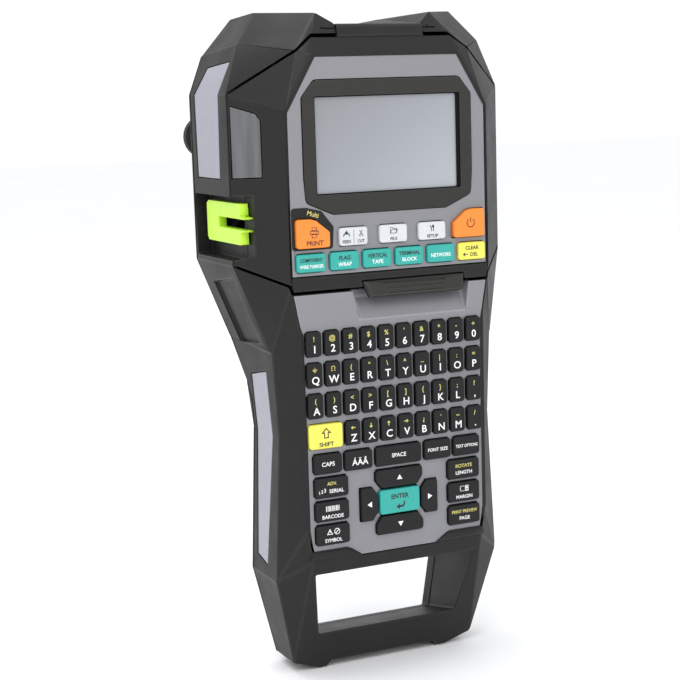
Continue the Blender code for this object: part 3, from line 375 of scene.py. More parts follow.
def finish(name):
    """A named finish, made once."""
    if name not in FINISHES:
        c = colours()
        made = {
            "grained_black": lambda: grained(name, c.casing, 0.5, Specular_IOR_Level=0.28),
            # painted highlight: the casing plastic 1.25 times lighter, for the casing's rounded edges and the
            # door's grip ribs
            "casing_highlight": lambda: grained(
                name, tuple(v * 1.25 for v in c.casing), 0.44, 0.0005, 0.00003, 0.1, Specular_IOR_Level=0.32
            ),
            # painted shade: half the casing's colour, for the ring round the display window
            "shade_black": lambda: grained(
                name, tuple(v * 0.5 for v in c.casing), 0.7, 0.0004, 0.00004, Specular_IOR_Level=0.1
            ),
            "silver_paint": lambda: satin_paint(name, c.panel),
            # painted highlight: the panel paint 1.15 times lighter, for the panels' rounded edges
            "silver_highlight": lambda: satin_paint(name, tuple(v * 1.15 for v in c.panel)),
            "olive_bezel": lambda: grained(
                name, c.bezel, 0.42, 0.0003, 0.00003, 0.08, Specular_IOR_Level=0.35
            ),
            # painted highlight: the bezel plastic 1.5 times lighter, for the bezel's and the tab's rounded
            # edges
            "olive_highlight": lambda: grained(name, tuple(v * 1.5 for v in c.bezel), 0.34, 0.0003, 0.00002, 0.08),
            "key_black": lambda: silicone(name, c.black_key, 0.5, Specular_IOR_Level=0.3),
            "key_orange": lambda: silicone(name, c.orange_key, 0.45),
            "key_white": lambda: silicone(name, c.white_key, 0.45),
            "key_teal": lambda: silicone(name, c.teal_key, 0.45),
            "key_yellow": lambda: silicone(name, c.yellow_key, 0.45),
            "ink_white": lambda: ink(name, (0.86, 0.86, 0.86)),
            "ink_yellow": lambda: ink(name, (0.62, 0.56, 0.16)),
            "ink_black": lambda: ink(name, (0.015, 0.015, 0.017)),
            "ink_brown": lambda: ink(name, (0.10, 0.025, 0.006)),
            "lime_gloss": lambda: smooth_moulded(name, c.guide, 0.34, Coat_Weight=0.15),
            "prism_film": lambda: prism_film(name, c.strip),
            "smoked_clear": lambda: smoked_clear(name),
            "liquid_crystal": lambda: liquid_crystal(name),
            "steel": lambda: brushed(name, (0.56, 0.56, 0.57)),
            "dark_steel": lambda: brushed(name, (0.20, 0.20, 0.21), 0.38),
            "oiled_steel": lambda: brushed(name, (0.03, 0.03, 0.031), 0.5),
            "brass": lambda: brushed(name, (0.62, 0.44, 0.18), 0.3),
            "rubber": lambda: soft_rubber(name, (0.022, 0.022, 0.023)),
            "circuit_board": lambda: solder_mask(name),
            "battery_wrap": lambda: shrink_wrap(name),
            "grey_moulded": lambda: grained(name, (0.16, 0.16, 0.17), 0.45, 0.0004, 0.00004, 0.1),
            "pale_moulded": lambda: smooth_moulded(name, (0.55, 0.56, 0.57), 0.4),
            "plate_grey": lambda: smooth_moulded(name, (0.055, 0.056, 0.06), 0.5),
            "chip_black": lambda: grained(name, (0.02, 0.02, 0.021), 0.4, 0.0002, 0.00002, 0.1),
            "label_paper": lambda: ink(name, (0.78, 0.78, 0.74)),
        }[name]()
        FINISHES[name] = made
    return FINISHES[name]


# ---------------------------------------------------------------- shapes


def place(x, depth, height):
    """Millimetre arrays as (n, 3) points in metres."""
    x, depth, height = np.broadcast_arrays(x, depth, height)
    return np.stack([x, depth - HALF_DEPTH, height], axis=-1).reshape(-1, 3) * MM


def corner_turn(corners):
    """Each edge's outward normal and, at each corner, the mitre vector and the two normals' angles."""
    points = np.asarray(corners, float)
    ahead = np.roll(points, -1, axis=0) - points
    ahead /= np.linalg.norm(ahead, axis=1)[:, None]
    after = np.roll(points, -1, axis=0)
    side = math.copysign(1.0, np.sum(points[:, 0] * after[:, 1] - after[:, 0] * points[:, 1]))
    normal = np.stack([ahead[:, 1], -ahead[:, 0]], axis=1) * side
    before = np.roll(normal, 1, axis=0)
    mitre = (normal + before) / (1 + np.sum(normal * before, axis=1))[:, None]
    start = np.arctan2(before[:, 1], before[:, 0])
    turn = np.arctan2(normal[:, 1], normal[:, 0]) - start
    turn = (turn + math.pi) % (2 * math.pi) - math.pi
    return points, mitre, start, turn, side


def rounded(corners, radius, inset=0.0, steps=5):
    """An outline moved inwards, its corners turned into arcs.

    An arc's centre lies on the corner's mitre, and its radius is the corner radius less the inset.
    """
    points, mitre, start, turn, side = corner_turn(corners)
    arc = np.where(turn * side > 0, max(radius - inset, 0.01), 0.002)
    centre = points - (inset + arc)[:, None] * mitre
    angle = start[:, None] + turn[:, None] * np.linspace(0, 1, steps)
    spoke = np.stack([np.cos(angle), np.sin(angle)], axis=-1)
    return (centre[:, None] + arc[:, None, None] * spoke).reshape(-1, 2)


def ring_faces(rings, around):
    """Quads between rings that follow each other, and a face over each end."""
    row = np.arange(rings - 1)[:, None] * around
    step = np.arange(around)[None, :]
    after = (step + 1) % around
    quads = np.stack([row + step, row + after, row + around + after, row + around + step], axis=-1)
    ends = [list(range(around)), list(range((rings - 1) * around, rings * around))]
    return quads.reshape(-1, 4).tolist() + ends


def bar(x0, z0, x1, z1):
    """An oblong from its lower left and upper right corners."""
    return [(x0, z0), (x1, z0), (x1, z1), (x0, z1)]


class Shape:
    """Points in metres and faces, gathered from several bodies before they become one mesh."""

    def __init__(self):
        self.points = []
        self.faces = []
        self.finish = []
        self.count = 0

    def add(self, points, faces, finish_index=0):
        """A body's points and faces, all in one finish."""
        self.points.append(np.asarray(points, float).reshape(-1, 3))
        self.faces += [[self.count + i for i in face] for face in faces]
        self.finish += [finish_index] * len(faces)
        self.count += len(self.points[-1])

    def rings(self, loops, finish_index=0):
        """Loops of equal length, skinned and closed at both ends."""
        loops = np.asarray(loops, float)
        self.add(loops.reshape(-1, 3), ring_faces(len(loops), loops.shape[1]), finish_index)

    def hoop(self, loops, finish_index=0):
        """Loops of equal length, skinned and joined from the last back to the first."""
        loops = np.asarray(loops, float)
        count, around = loops.shape[:2]
        row, step = np.arange(count)[:, None], np.arange(around)[None, :]
        below, above, after = row * around, (row + 1) % count * around, (step + 1) % around
        quads = np.stack([below + step, below + after, above + after, above + step], axis=-1)
        self.add(loops.reshape(-1, 3), quads.reshape(-1, 4).tolist(), finish_index)

    def surround(self, outer, inner, radius, hole_radius, front, back, edge):
        """A flat ring between two outlines of as many corners, its front edges chamfered."""
        loops = []
        for corners, turn, inset, depth in (
            (outer, radius, 0.0, back),
            (outer, radius, 0.0, front + edge),
            (outer, radius, edge, front),
            (inner, hole_radius, -edge, front),
            (inner, hole_radius, 0.0, front + edge),
            (inner, hole_radius, 0.0, back),
        ):
            flat = rounded(corners, turn, inset)
            loops.append(place(flat[:, 0], depth, flat[:, 1]))
        self.hoop(loops)

    def profile(self, corners, radius, steps, finish_index=0, arc_steps=5):
        """An outline in the front view carried through (inset, depth) steps."""
        loops = []
        for inset, depth in steps:
            flat = rounded(corners, radius, inset, arc_steps)
            loops.append(place(flat[:, 0], depth, flat[:, 1]))
        self.rings(loops, finish_index)

    def turned(self, centre, steps, sides):
        """A profile of (radius, along) steps turned about a front-to-back axis through a place."""
        x, depth, height = centre
        angle = np.linspace(0, 2 * math.pi, sides, endpoint=False)
        c, s = np.cos(angle), np.sin(angle)
        self.rings([place(x + radius * c, depth + along, height + radius * s) for radius, along in steps])

    def block(self, low, high, edge=0.15, finish_index=0):
        """A box with its edges chamfered."""
        (x0, d0, z0), (x1, d1, z1) = low, high
        steps = [(edge, d0), (0, d0 + edge), (0, d1 - edge), (edge, d1)]
        self.profile(bar(x0, z0, x1, z1), edge, steps, finish_index, 2)


SAME_POINT = 1e-7


def piece(name, shape, finishes, body, replaces=(), smooth=40.0):
    """A mesh object from a shape, riding on a body."""
    mesh = bpy.data.meshes.new(name)
    mesh.from_pydata(np.concatenate(shape.points).tolist(), [], shape.faces)
    for one in finishes:
        mesh.materials.append(finish(one))
    mesh.polygons.foreach_set("material_index", shape.finish)
    form = bmesh.new()
    form.from_mesh(mesh)
    bmesh.ops.remove_doubles(form, verts=form.verts[:], dist=SAME_POINT)
    bmesh.ops.recalc_face_normals(form, faces=form.faces[:])
    form.to_mesh(mesh)
    form.free()
    mesh.shade_smooth()
    mesh.set_sharp_from_angle(angle=math.radians(smooth))
    made = bpy.data.objects.new(name, mesh)
    bpy.context.scene.collection.objects.link(made)
    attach(made, body)
    if replaces:
        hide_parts(*replaces)


def body_of(node):
    """The moving body that a CAD node belongs to."""
    for body, nodes in frame["record"]["behaviour"]["bodies"].items():
        if node in nodes:
            return body
    raise RuntimeError(f"no body holds {node}")


MERGE_DISTANCE = 2e-5
FLAT_ANGLE = math.radians(0.6)
FOLD_ANGLE = math.radians(2.0)
SOFT_ANGLE = math.radians(9.0)
ROOM_SHARE = 0.45  # share of its shortest neighbour that an edge's rounding may take
LEAST_ROOM = 0.12  # an edge with room for less than this share of the width stays sharp
FLAT_FACE_WEIGHT = 90


def is_fold(edge):
    """Whether an edge's two faces meet at an angle."""
    return len(edge.link_faces) == 2 and edge.calc_face_angle(0.0) > FOLD_ANGLE


def rounded_copy(node, name, width, finishes, least=1.2, sharpest=4.0, soft_box=None):
    """A copy of a CAD piece with its convex and concave edges rounded.

    Its triangles are merged into flat faces first. An edge whose faces meet at more than an angle is
    rounded by the width, or by as much of it as its shortest neighbour leaves room for, and one with
    no room stays sharp. An edge inside the soft box, given by its lowest and highest corner, is rounded
    by all the room it has. A bevel weight holds its edge's own width in metres. The rounding's own faces
    take the last finish. The flat faces are cut into triangles again, because one with a hole in it
    can't be a single face.
    """
    mesh = frame["nodes"][node].data.copy()
    mesh.name = name
    form = bmesh.new()
    form.from_mesh(mesh)
    bmesh.ops.remove_doubles(form, verts=form.verts[:], dist=MERGE_DISTANCE)
    bmesh.ops.dissolve_limit(form, angle_limit=FLAT_ANGLE, verts=form.verts[:], edges=form.edges[:])
    bmesh.ops.triangulate(form, faces=form.faces[:], ngon_method="BEAUTY")
    weight = form.edges.layers.float.new("bevel_weight_edge")
    low, high = soft_box or ((0, 0, 0), (0, 0, 0))
    for edge in form.edges:
        edge.smooth = True
        soft = all(low[i] * MM < end.co[i] < high[i] * MM for end in edge.verts for i in range(3))
        least_angle = SOFT_ANGLE if soft else math.radians(sharpest)
        if len(edge.link_faces) != 2 or edge.calc_face_angle(0.0) < least_angle:
            continue
        near = [other.calc_length() for end in edge.verts for other in end.link_edges if is_fold(other)]
        room = ROOM_SHARE * min(near)
        if edge.calc_length() > least * MM and room > LEAST_ROOM * width:
            edge[weight] = room if soft else min(width, room)
        else:
            edge.smooth = False
    form.to_mesh(mesh)
    form.free()
    mesh.materials.clear()
    for one in finishes:
        mesh.materials.append(finish(one))
    mesh.polygons.foreach_set("material_index", [0] * len(mesh.polygons))
    mesh.polygons.foreach_set("use_smooth", [True] * len(mesh.polygons))
    made = bpy.data.objects.new(name, mesh)
    bpy.context.scene.collection.objects.link(made)
    bevel = made.modifiers.new("edges", "BEVEL")
    bevel.limit_method = "WEIGHT"
    bevel.width = 1.0
    bevel.segments = sizes().edge_steps
    bevel.use_clamp_overlap = False
    # where the last finish is a lighter copy of the first, the rounding carries a painted highlight
    bevel.material = len(finishes) - 1
    flatten = made.modifiers.new("flat_faces", "WEIGHTED_NORMAL")
    flatten.keep_sharp = True
    flatten.weight = FLAT_FACE_WEIGHT
    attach(made, body_of(node))
    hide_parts(node)


def dress(node, look):
    """Gives a kept CAD piece its finish."""
    mesh = frame["nodes"][node].data
    mesh.materials.clear()
    mesh.materials.append(finish(look))


# ---------------------------------------------------------------- casing


class LABELMAKER_OT_casing(bpy.types.Operator):
    """Makes the housing, the rear cover and the lid with rounded edges"""

    bl_idname = "labelmaker.casing"
    bl_label = "Casing"

    def execute(self, context):
        width = sizes().casing_edge
        for node, name in (("housing", "housing_shell"), ("rear_cover", "rear_shell"), ("lid", "lid_shell")):
            # the rounded edges take the lighter casing finish, a painted highlight
            rounded_copy(node, name, width, ("grained_black", "casing_highlight"), 1.0, 7.0)
        return {"FINISHED"}


WELL_BOX = ((-24.0, -42.0, 165.5), (42.0, -31.0, 182.0))  # round the finger well


class LABELMAKER_OT_panels(bpy.types.Operator):
    """Makes the silver panels, the bezel and the latch tab"""

    bl_idname = "labelmaker.panels"
    bl_label = "Panels"

    def execute(self, context):
        # the panels' rounded edges take the lighter paint, a painted highlight
        width, paint = sizes().panel_edge, ("silver_paint", "silver_highlight")
        rounded_copy("keyboard_panel", "keyboard_surround", width, paint, 9.0, 60.0, WELL_BOX)
        rounded_copy("lid_panel", "display_surround", width, paint, 9.0, 60.0)
        # the bezel's and the tab's rounded edges take the lighter plastic, a painted highlight
        olive = ("olive_bezel", "olive_highlight")
        rounded_copy("display_bezel", "bezel_frame", 0.0005, olive, 0.5, 30.0)
        rounded_copy("latch_tab", "pull_tab", 0.0003, olive, 0.5, 30.0)
        return {"FINISHED"}


# The window's edges, and how much of the black ring inside them shows: painted shade for the dark recess wall
# and the shadow in it, wider on the right.
DISPLAY_HALF_WIDTH = 36.2
DISPLAY_LOW = 224.3
DISPLAY_HIGH = 267.4
SHADE_RING_SHOWS = 0.5
SHADE_RING_SHOWS_RIGHT = 1.5


class LABELMAKER_OT_display(bpy.types.Operator):
    """Makes the display's window and the black ring round it, painted shade in the recess"""

    bl_idname = "labelmaker.display"
    bl_label = "Display"

    def execute(self, context):
        half, low, high, shows = DISPLAY_HALF_WIDTH, DISPLAY_LOW, DISPLAY_HIGH, SHADE_RING_SHOWS
        corners = bar(-half, low, half, high)
        steps = [(-1.1, 3.9), (-1.1, 3.1), (0.2, 3.1), (0.2, 2.95), (0.35, 2.85)]
        shape = Shape()
        shape.profile(corners, 1.0, steps)
        glass = ["liquid_crystal"]
        piece("display_window", shape, glass, "lid_assembly", ["display_lens"], 15.0)
        # painted shade: the black ring stands in for the recess wall and its shadow, showing more on the
        # right
        inside = bar(shows - half, low + shows, half - SHADE_RING_SHOWS_RIGHT, high - shows)
        shape = Shape()
        shape.surround(corners, inside, 0.9, 0.8, 1.75, 3.0, 0.06)
        piece("display_shade_ring", shape, ["shade_black"], "lid_assembly")
        return {"FINISHED"}


# The surround's outline, and a lip's outlines at its foot and along its crown.
PRINT_SURROUND = [
    (-48.7, 200.5), (-29.2, 200.5), (-28.5, 210.2), (-34.2, 217.4), (-41.5, 219.2), (-48.7, 219.2),
]  # fmt: skip
LIP_FOOT = [(19.6, 59.2), (45.4, 59.6), (44.4, 63.5), (26.4, 63.5)]
LIP_CROWN = [(23.0, 60.4), (43.4, 60.9), (42.9, 62.4), (27.6, 62.4)]


class LABELMAKER_OT_surrounds(bpy.types.Operator):
    """Makes the dark surround of the print key and the lips under the keyboard's lower corners"""

    bl_idname = "labelmaker.surrounds"
    bl_label = "Surrounds"

    def execute(self, context):
        _, _, x, height, outline, _ = LID_KEYS[0]
        points, mitre, _, _, _ = corner_turn([(px + x, pz + height) for px, pz in outline])
        shape = Shape()
        shape.surround(PRINT_SURROUND, points + 0.35 * mitre, 1.4, 1.3, 1.35, 1.9, 0.15)
        piece("print_key_surround", shape, ["grained_black"], "lid_assembly")
        shape = Shape()
        for side in (1, -1):
            order = slice(None, None, side)
            loops = []
            for flat, depth in ((LIP_FOOT, 2.4), (LIP_FOOT, 1.2), (LIP_CROWN, 0.2)):
                x, z = np.array(flat[order]).T
                loops.append(place(side * x, depth, z))
            shape.rings(loops)
        piece("keyboard_lips", shape, ["grained_black"], "casing", (), 20.0)
        return {"FINISHED"}


# ---------------------------------------------------------------- keys

COLUMN_PITCH = 9.0
ROW_PITCH = 14.03
KEYS_CENTRE = 137.5
KEY_SIZE = (7.4, 11.2)
KEY_DIP = 0.05  # how far a key's top dips in the middle
KEY_WALL = 1.4  # how far below its top a key's straight wall begins
KEY_FOOT = 3.7  # the depth at which every key ends


def rectangle(width, height):
    """A rectangle about the origin."""
    return bar(-width / 2, -height / 2, width / 2, height / 2)


def column(index):
    """How far across a column of letter keys stands, counted from the left."""
    return (index - 4.5) * COLUMN_PITCH


def row_height(index):
    """How high a row of letter keys stands, counted from the top."""
    return KEYS_CENTRE + (1.5 - index) * ROW_PITCH


def add_cap(shape, x, height, outline, top):
    """A key cap: straight walls, a quarter-round upper edge and a top that dips slightly in the middle."""
    corners = [(px + x, pz + height) for px, pz in outline]
    round_ = sizes().key_round / MM
    corner = sizes().key_corner / MM
    turns = np.linspace(0, math.pi / 2, 5)
    edge = [(round_ * (1 - math.cos(t)), top + round_ * (1 - math.sin(t))) for t in turns]
    dip = [(round_ + 0.5, top + 0.4 * KEY_DIP), (round_ + 1.1, top + KEY_DIP)]
    shape.profile(corners, corner, [(0.0, KEY_FOOT), (0.0, top + KEY_WALL)] + edge + dip)


UP_ARROW = [(-9.2, -4.3), (9.2, -4.3), (12, -0.5), (12, 3.2), (11, 4.3), (-11, 4.3), (-12, 3.2), (-12, -0.5)]
LEFT_ARROW = [(-4.3, -7.8), (1.5, -7.8), (4.3, -4.0), (4.3, 4.0), (1.5, 7.8), (-4.3, 7.8)]
ARROWS = {
    "up": UP_ARROW,
    "down": [(x, -z) for x, z in reversed(UP_ARROW)],
    "left": LEFT_ARROW,
    "right": [(-x, z) for x, z in reversed(LEFT_ARROW)],
}
ARROW_PLACES = {"up": (0.2, 93.0), "down": (0.2, 71.2), "left": (-15.2, 82.0), "right": (15.6, 82.0)}
PRINT_OUTLINE = [(-8.0, -6.4), (8.0, -6.4), (8.0, 0.4), (1.6, 5.6), (-1.0, 6.4), (-8.0, 6.4)]
POWER_OUTLINE = [(-x, z) for x, z in reversed(PRINT_OUTLINE)]
# Each key: node, finish, x, height, outline, depth of its top.
LID_KEYS = [
    ("key_print", "key_orange", -39.2, 207.8, PRINT_OUTLINE, -0.6),
    ("key_feed", "key_white", -19.4, 205.4, rectangle(13.8, 8.0), 0.1),
    ("key_file", "key_white", 0.5, 205.4, rectangle(13.8, 8.0), 0.1),
    ("key_setup", "key_white", 20.2, 205.4, rectangle(13.8, 8.0), 0.1),
    ("key_power", "key_orange", 39.2, 207.8, POWER_OUTLINE, -0.6),
    ("key_component", "key_teal", -40.3, 194.8, rectangle(14.0, 8.0), 0.1),
    ("key_flag", "key_teal", -24.1, 194.8, rectangle(14.0, 8.0), 0.1),
    ("key_vertical", "key_teal", -7.9, 194.8, rectangle(14.0, 8.0), 0.1),
    ("key_terminal", "key_teal", 8.3, 194.8, rectangle(14.0, 8.0), 0.1),
    ("key_network", "key_teal", 24.5, 194.8, rectangle(14.0, 8.0), 0.1),
    ("key_clear", "key_yellow", 40.7, 194.8, rectangle(14.0, 8.0), 0.1),
]
BODY_KEYS = [
    ("key_shift", "key_yellow", column(0) + 4.5, row_height(3), rectangle(16.4, 11.2), 0.0),
    ("key_caps", "key_black", -35.5, 103.7, rectangle(13.9, 9.0), 0.0),
    ("key_accents", "key_black", -20.2, 103.7, rectangle(13.9, 9.0), 0.0),
    ("key_space", "key_black", 0.2, 103.7, rectangle(23.4, 9.0), 0.0),
    ("key_font", "key_black", 20.5, 103.7, rectangle(13.9, 9.0), 0.0),
    ("key_text", "key_black", 35.8, 103.7, rectangle(13.9, 9.0), 0.0),
    ("key_serial", "key_black", -34.0, 92.7, rectangle(16.6, 9.2), 0.0),
    ("key_barcode", "key_black", -34.0, 81.7, rectangle(16.6, 9.2), 0.0),
    ("key_symbol", "key_black", -34.0, 70.7, rectangle(16.6, 9.2), 0.0),
    ("key_rotate", "key_black", 34.0, 92.7, rectangle(16.6, 9.2), 0.0),
    ("key_margin", "key_black", 34.0, 81.7, rectangle(16.6, 9.2), 0.0),
    ("key_preview", "key_black", 34.0, 70.7, rectangle(16.6, 9.2), 0.0),
    ("key_enter", "key_teal", 0.2, 82.0, rectangle(20.4, 11.4), -0.1),
]


def letter_places(row):
    """The letter keys' places in a row. Shift takes the first two in the last row."""
    first = 2 if row == 3 else 0
    return [(column(index), row_height(row)) for index in range(first, 10)]


def make_key(node, look, x, height, outline, top):
    """A key with a body of its own."""
    shape = Shape()
    add_cap(shape, x, height, outline, top)
    piece(node + "_cap", shape, [look], body_of(node), [node], 50.0)


class LABELMAKER_OT_lid_keys(bpy.types.Operator):
    """Makes the lid's function keys"""

    bl_idname = "labelmaker.lid_keys"
    bl_label = "Lid Keys"

    def execute(self, context):
        for row in LID_KEYS:
            make_key(*row)
        return {"FINISHED"}


class LABELMAKER_OT_body_keys(bpy.types.Operator):
    """Makes the keyboard's option keys, letter rows and arrow keys"""

    bl_idname = "labelmaker.body_keys"
    bl_label = "Body Keys"

    def execute(self, context):
        for row in BODY_KEYS:
            make_key(*row)
        for row in range(4):
            shape = Shape()
            for x, height in letter_places(row):
                add_cap(shape, x, height, rectangle(*KEY_SIZE), 0.0)
            node = f"letter_row_{row + 1}"
            piece(f"letter_caps_{row + 1}", shape, ["key_black"], node, [node], 50.0)
        shape = Shape()
        for name, outline in ARROWS.items():
            add_cap(shape, *ARROW_PLACES[name], outline, 0.0)
        piece("arrow_caps", shape, ["key_black"], "arrow_pad", ["arrow_pad"], 50.0)
        return {"FINISHED"}


# ---------------------------------------------------------------- legends

GLYPHS = {}


def glyphs(text, bold):
    """A line of text as points and faces one unit thick, centred across and sitting on its baseline.

    The outline is pushed out by a share of the type size, which makes the strokes bolder.
    """
    if (text, bold) not in GLYPHS:
        curve = bpy.data.curves.new("glyphs", "FONT")
        curve.body = text
        curve.size = 1.0
        curve.align_x = "CENTER"
        curve.extrude = 0.5
        curve.offset = bold
        curve.resolution_u = 3
        holder = bpy.data.objects.new("glyphs", curve)
        bpy.context.scene.collection.objects.link(holder)
        bpy.context.view_layer.update()
        mesh = bpy.data.meshes.new_from_object(holder.evaluated_get(bpy.context.evaluated_depsgraph_get()))
        points = np.zeros(len(mesh.vertices) * 3)
        mesh.vertices.foreach_get("co", points)
        GLYPHS[text, bold] = points.reshape(-1, 3), [list(face.vertices) for face in mesh.polygons]
        bpy.data.objects.remove(holder)
        bpy.data.curves.remove(curve)
        bpy.data.meshes.remove(mesh)
    return GLYPHS[text, bold]


BOLD = (0.012, 0.012, 0.028, 0.024)  # for white, yellow, dark and brown ink
CAP_SHARE = 0.73  # height of a capital as a share of the type size
INK_FOOT = 0.15  # how far a printed shape reaches into the cap, in legend heights
INK_FACE = -0.85  # where its face lies, in front of the cap


def write(shape, text, x, height, capital, top, finish_index=0, width=None, turn=0.0):
    """A line of text centred on a place, squeezed to a width and turned by degrees."""
    points, faces = glyphs(text, BOLD[finish_index])
    size = capital / CAP_SHARE
    across = points[:, 0] - (points[:, 0].min() + points[:, 0].max()) / 2
    span = np.ptp(points[:, 0]) * size
    squeeze = min(1.0, width / span) if width else 1.0
    thick = sizes().legend_height / MM
    depth = top - thick * (points[:, 2] + 0.5 - INK_FOOT)
    u, v = across * size * squeeze, (points[:, 1] - CAP_SHARE / 2) * size
    c, s = math.cos(math.radians(turn)), math.sin(math.radians(turn))
    shape.add(place(x + u * c - v * s, depth, height + u * s + v * c), faces, finish_index)


def mark(shape, corners, x, height, top, finish_index=0):
    """A flat printed polygon."""
    thick = sizes().legend_height / MM
    outline = np.asarray(corners, float) + (x, height)
    ends = (INK_FOOT, INK_FACE)
    shape.rings([place(outline[:, 0], top + end * thick, outline[:, 1]) for end in ends], finish_index)


def arc_band(radius, width, start, end, steps=16, x=0.0, z=0.0):
    """A curved stroke between two angles in degrees."""
    turn = np.radians(np.linspace(start, end, steps))
    spoke = np.stack([np.cos(turn), np.sin(turn)], axis=1)
    return np.concatenate([(radius + width / 2) * spoke, (radius - width / 2) * spoke[::-1]]) + (x, z)


ARROW = [(-0.16, -1.0), (0.16, -1.0), (0.16, 0.15), (0.75, 0.15), (0.0, 1.0), (-0.75, 0.15), (-0.16, 0.15)]
TRIANGLE = [(-0.9, -0.6), (0.9, -0.6), (0.0, 0.9)]


def turned_mark(corners, quarters, size):
    """A polygon scaled and turned by a number of quarter turns to the left."""
    c, s = math.cos(quarters * math.pi / 2), math.sin(quarters * math.pi / 2)
    return np.array(corners) @ ((c, s), (-s, c)) * size


def outlined(corners, width):
    """A closed stroke, as its outer and inner outlines."""
    points, mitre, _, _, _ = corner_turn(corners)
    return points, points - width * mitre


def bars(centres, widths, low, high):
    """Upright oblongs side by side."""
    return [bar(x - w / 2, low, x + w / 2, high) for x, w in zip(centres, widths)]


ICONS = {
    "printer": [
        outlined([(-1.3, 0.9), (1.0, 0.9), (1.3, 1.3), (1.3, 2.4), (-1.3, 2.4)], 0.3),
        outlined([(-2.1, -0.9), (2.1, -0.9), (2.1, 0.9), (-2.1, 0.9)], 0.32),
        outlined([(-1.3, -2.3), (0.5, -2.3), (1.3, -1.5), (1.3, -0.3), (-1.3, -0.3)], 0.3),
        bar(0.9, 0.2, 1.4, 0.5),
    ],
    "folder": [
        outlined([(-2.0, -1.4), (1.6, -1.4), (1.6, 1.2), (-0.1, 1.2), (-0.5, 1.7), (-2.0, 1.7)], 0.28),
        outlined([(-2.0, -1.4), (1.5, -1.4), (2.4, 0.6), (-1.2, 0.6)], 0.28),
    ],
    "barcode": bars(np.arange(-3.2, 3.3, 0.64), (0.34, 0.18, 0.44) * 4, -1.25, 1.25),
    "power": [arc_band(1.75, 0.42, 125, 415), bar(-0.21, 0.2, 0.21, 2.3)],
    "feed": [
        bar(-1.9, -0.55, 1.9, 0.05), bar(-0.9, 0.05, 0.9, 1.1), bar(-0.24, 1.1, 0.24, 2.0),
        [(-1.9, -0.55), (-1.2, -0.55), (-1.7, -1.7), (-2.3, -1.7)],
        [(1.2, -0.55), (1.9, -0.55), (2.3, -1.7), (1.7, -1.7)],
    ],  # fmt: skip
    "cut": [
        [(-1.2, 2.0), (-0.85, 2.1), (1.0, -0.8), (0.6, -1.0)],
        [(1.2, 2.0), (0.85, 2.1), (-1.0, -0.8), (-0.6, -1.0)],
        arc_band(0.55, 0.3, 0, 350, 14, 0.95, -1.4),
        arc_band(0.55, 0.3, 0, 350, 14, -0.95, -1.4),
    ],
    "tools": [
        bar(-0.95, -1.9, -0.45, 0.7), arc_band(0.75, 0.45, 130, 410, 12, -0.7, 1.25),
        bar(0.45, -1.9, 0.95, 0.1), bar(0.2, 0.1, 1.2, 1.9),
    ],  # fmt: skip
    "warning": [outlined([(-1.5, -1.2), (1.5, -1.2), (0.0, 1.5)], 0.3), bar(-0.14, -0.4, 0.14, 0.5)],
    "no_sign": [
        arc_band(1.3, 0.32, 0, 352, 24),
        [(-1.0, -0.75), (-0.75, -1.0), (1.0, 0.75), (0.75, 1.0)],
    ],
    "page": [
        *bars(np.arange(-2.3, 0.1, 0.55), (0.3,) * 5, 1.1, 1.4),
        *bars(np.arange(-2.3, 0.1, 0.55), (0.3,) * 5, -1.4, -1.1),
        bar(-2.45, -0.8, -2.15, 0.8),
        outlined([(0.5, -1.5), (2.5, -1.5), (2.5, 1.5), (0.5, 1.5)], 0.28),
        bar(1.0, -0.2, 2.0, 0.9), bar(1.0, -1.0, 2.0, -0.6),
    ],  # fmt: skip
    "return": [
        [(-2.2, -0.7), (-0.6, 0.7), (-0.6, -0.1), (0.9, -0.1), (1.5, 0.4), (1.5, 1.6), (2.2, 1.6), (2.2, 0.1),
         (1.2, -1.1), (-0.6, -1.1), (-0.6, -2.0)],
    ],  # fmt: skip
    "shift": [
        outlined(
            [(-1.0, -1.9), (1.0, -1.9), (1.0, 0.1), (2.2, 0.1), (0.0, 2.3), (-2.2, 0.1), (-1.0, 0.1)], 0.42
        ),
    ],
    "ground": [
        bar(-0.1, 0.2, 0.1, 1.0), bar(-1.0, -0.05, 1.0, 0.2),
        bar(-0.65, -0.5, 0.65, -0.27), bar(-0.3, -0.95, 0.3, -0.72),
    ],  # fmt: skip
    "omega": [
        arc_band(0.72, 0.26, -52, 232, 18, 0.0, 0.22),
        bar(-0.95, -0.95, -0.28, -0.7), bar(0.28, -0.95, 0.95, -0.7),
    ],  # fmt: skip
}
LETTER_ROWS = [
    list(zip("1234567890", ["!", "@", "#", "$", "%", "'", "&", "*", "-", "+"])),
    list(zip("QWERTYUIOP", ["icon:ground", "icon:omega", "(", '"', "\\", "^", "_", "|", ":", "="])),
    list(zip("ASDFGHJKL,", ["(", ")", "<", ">", "[", "]", "{", "}", ";", "?"])),
    list(zip("ZXCVBNM.", ["icon:left", "icon:down", "icon:up", "icon:right", "¿", "`", "~", "/"])),
]
ARROW_TURNS = {"up": 0, "left": 1, "down": 2, "right": 3}
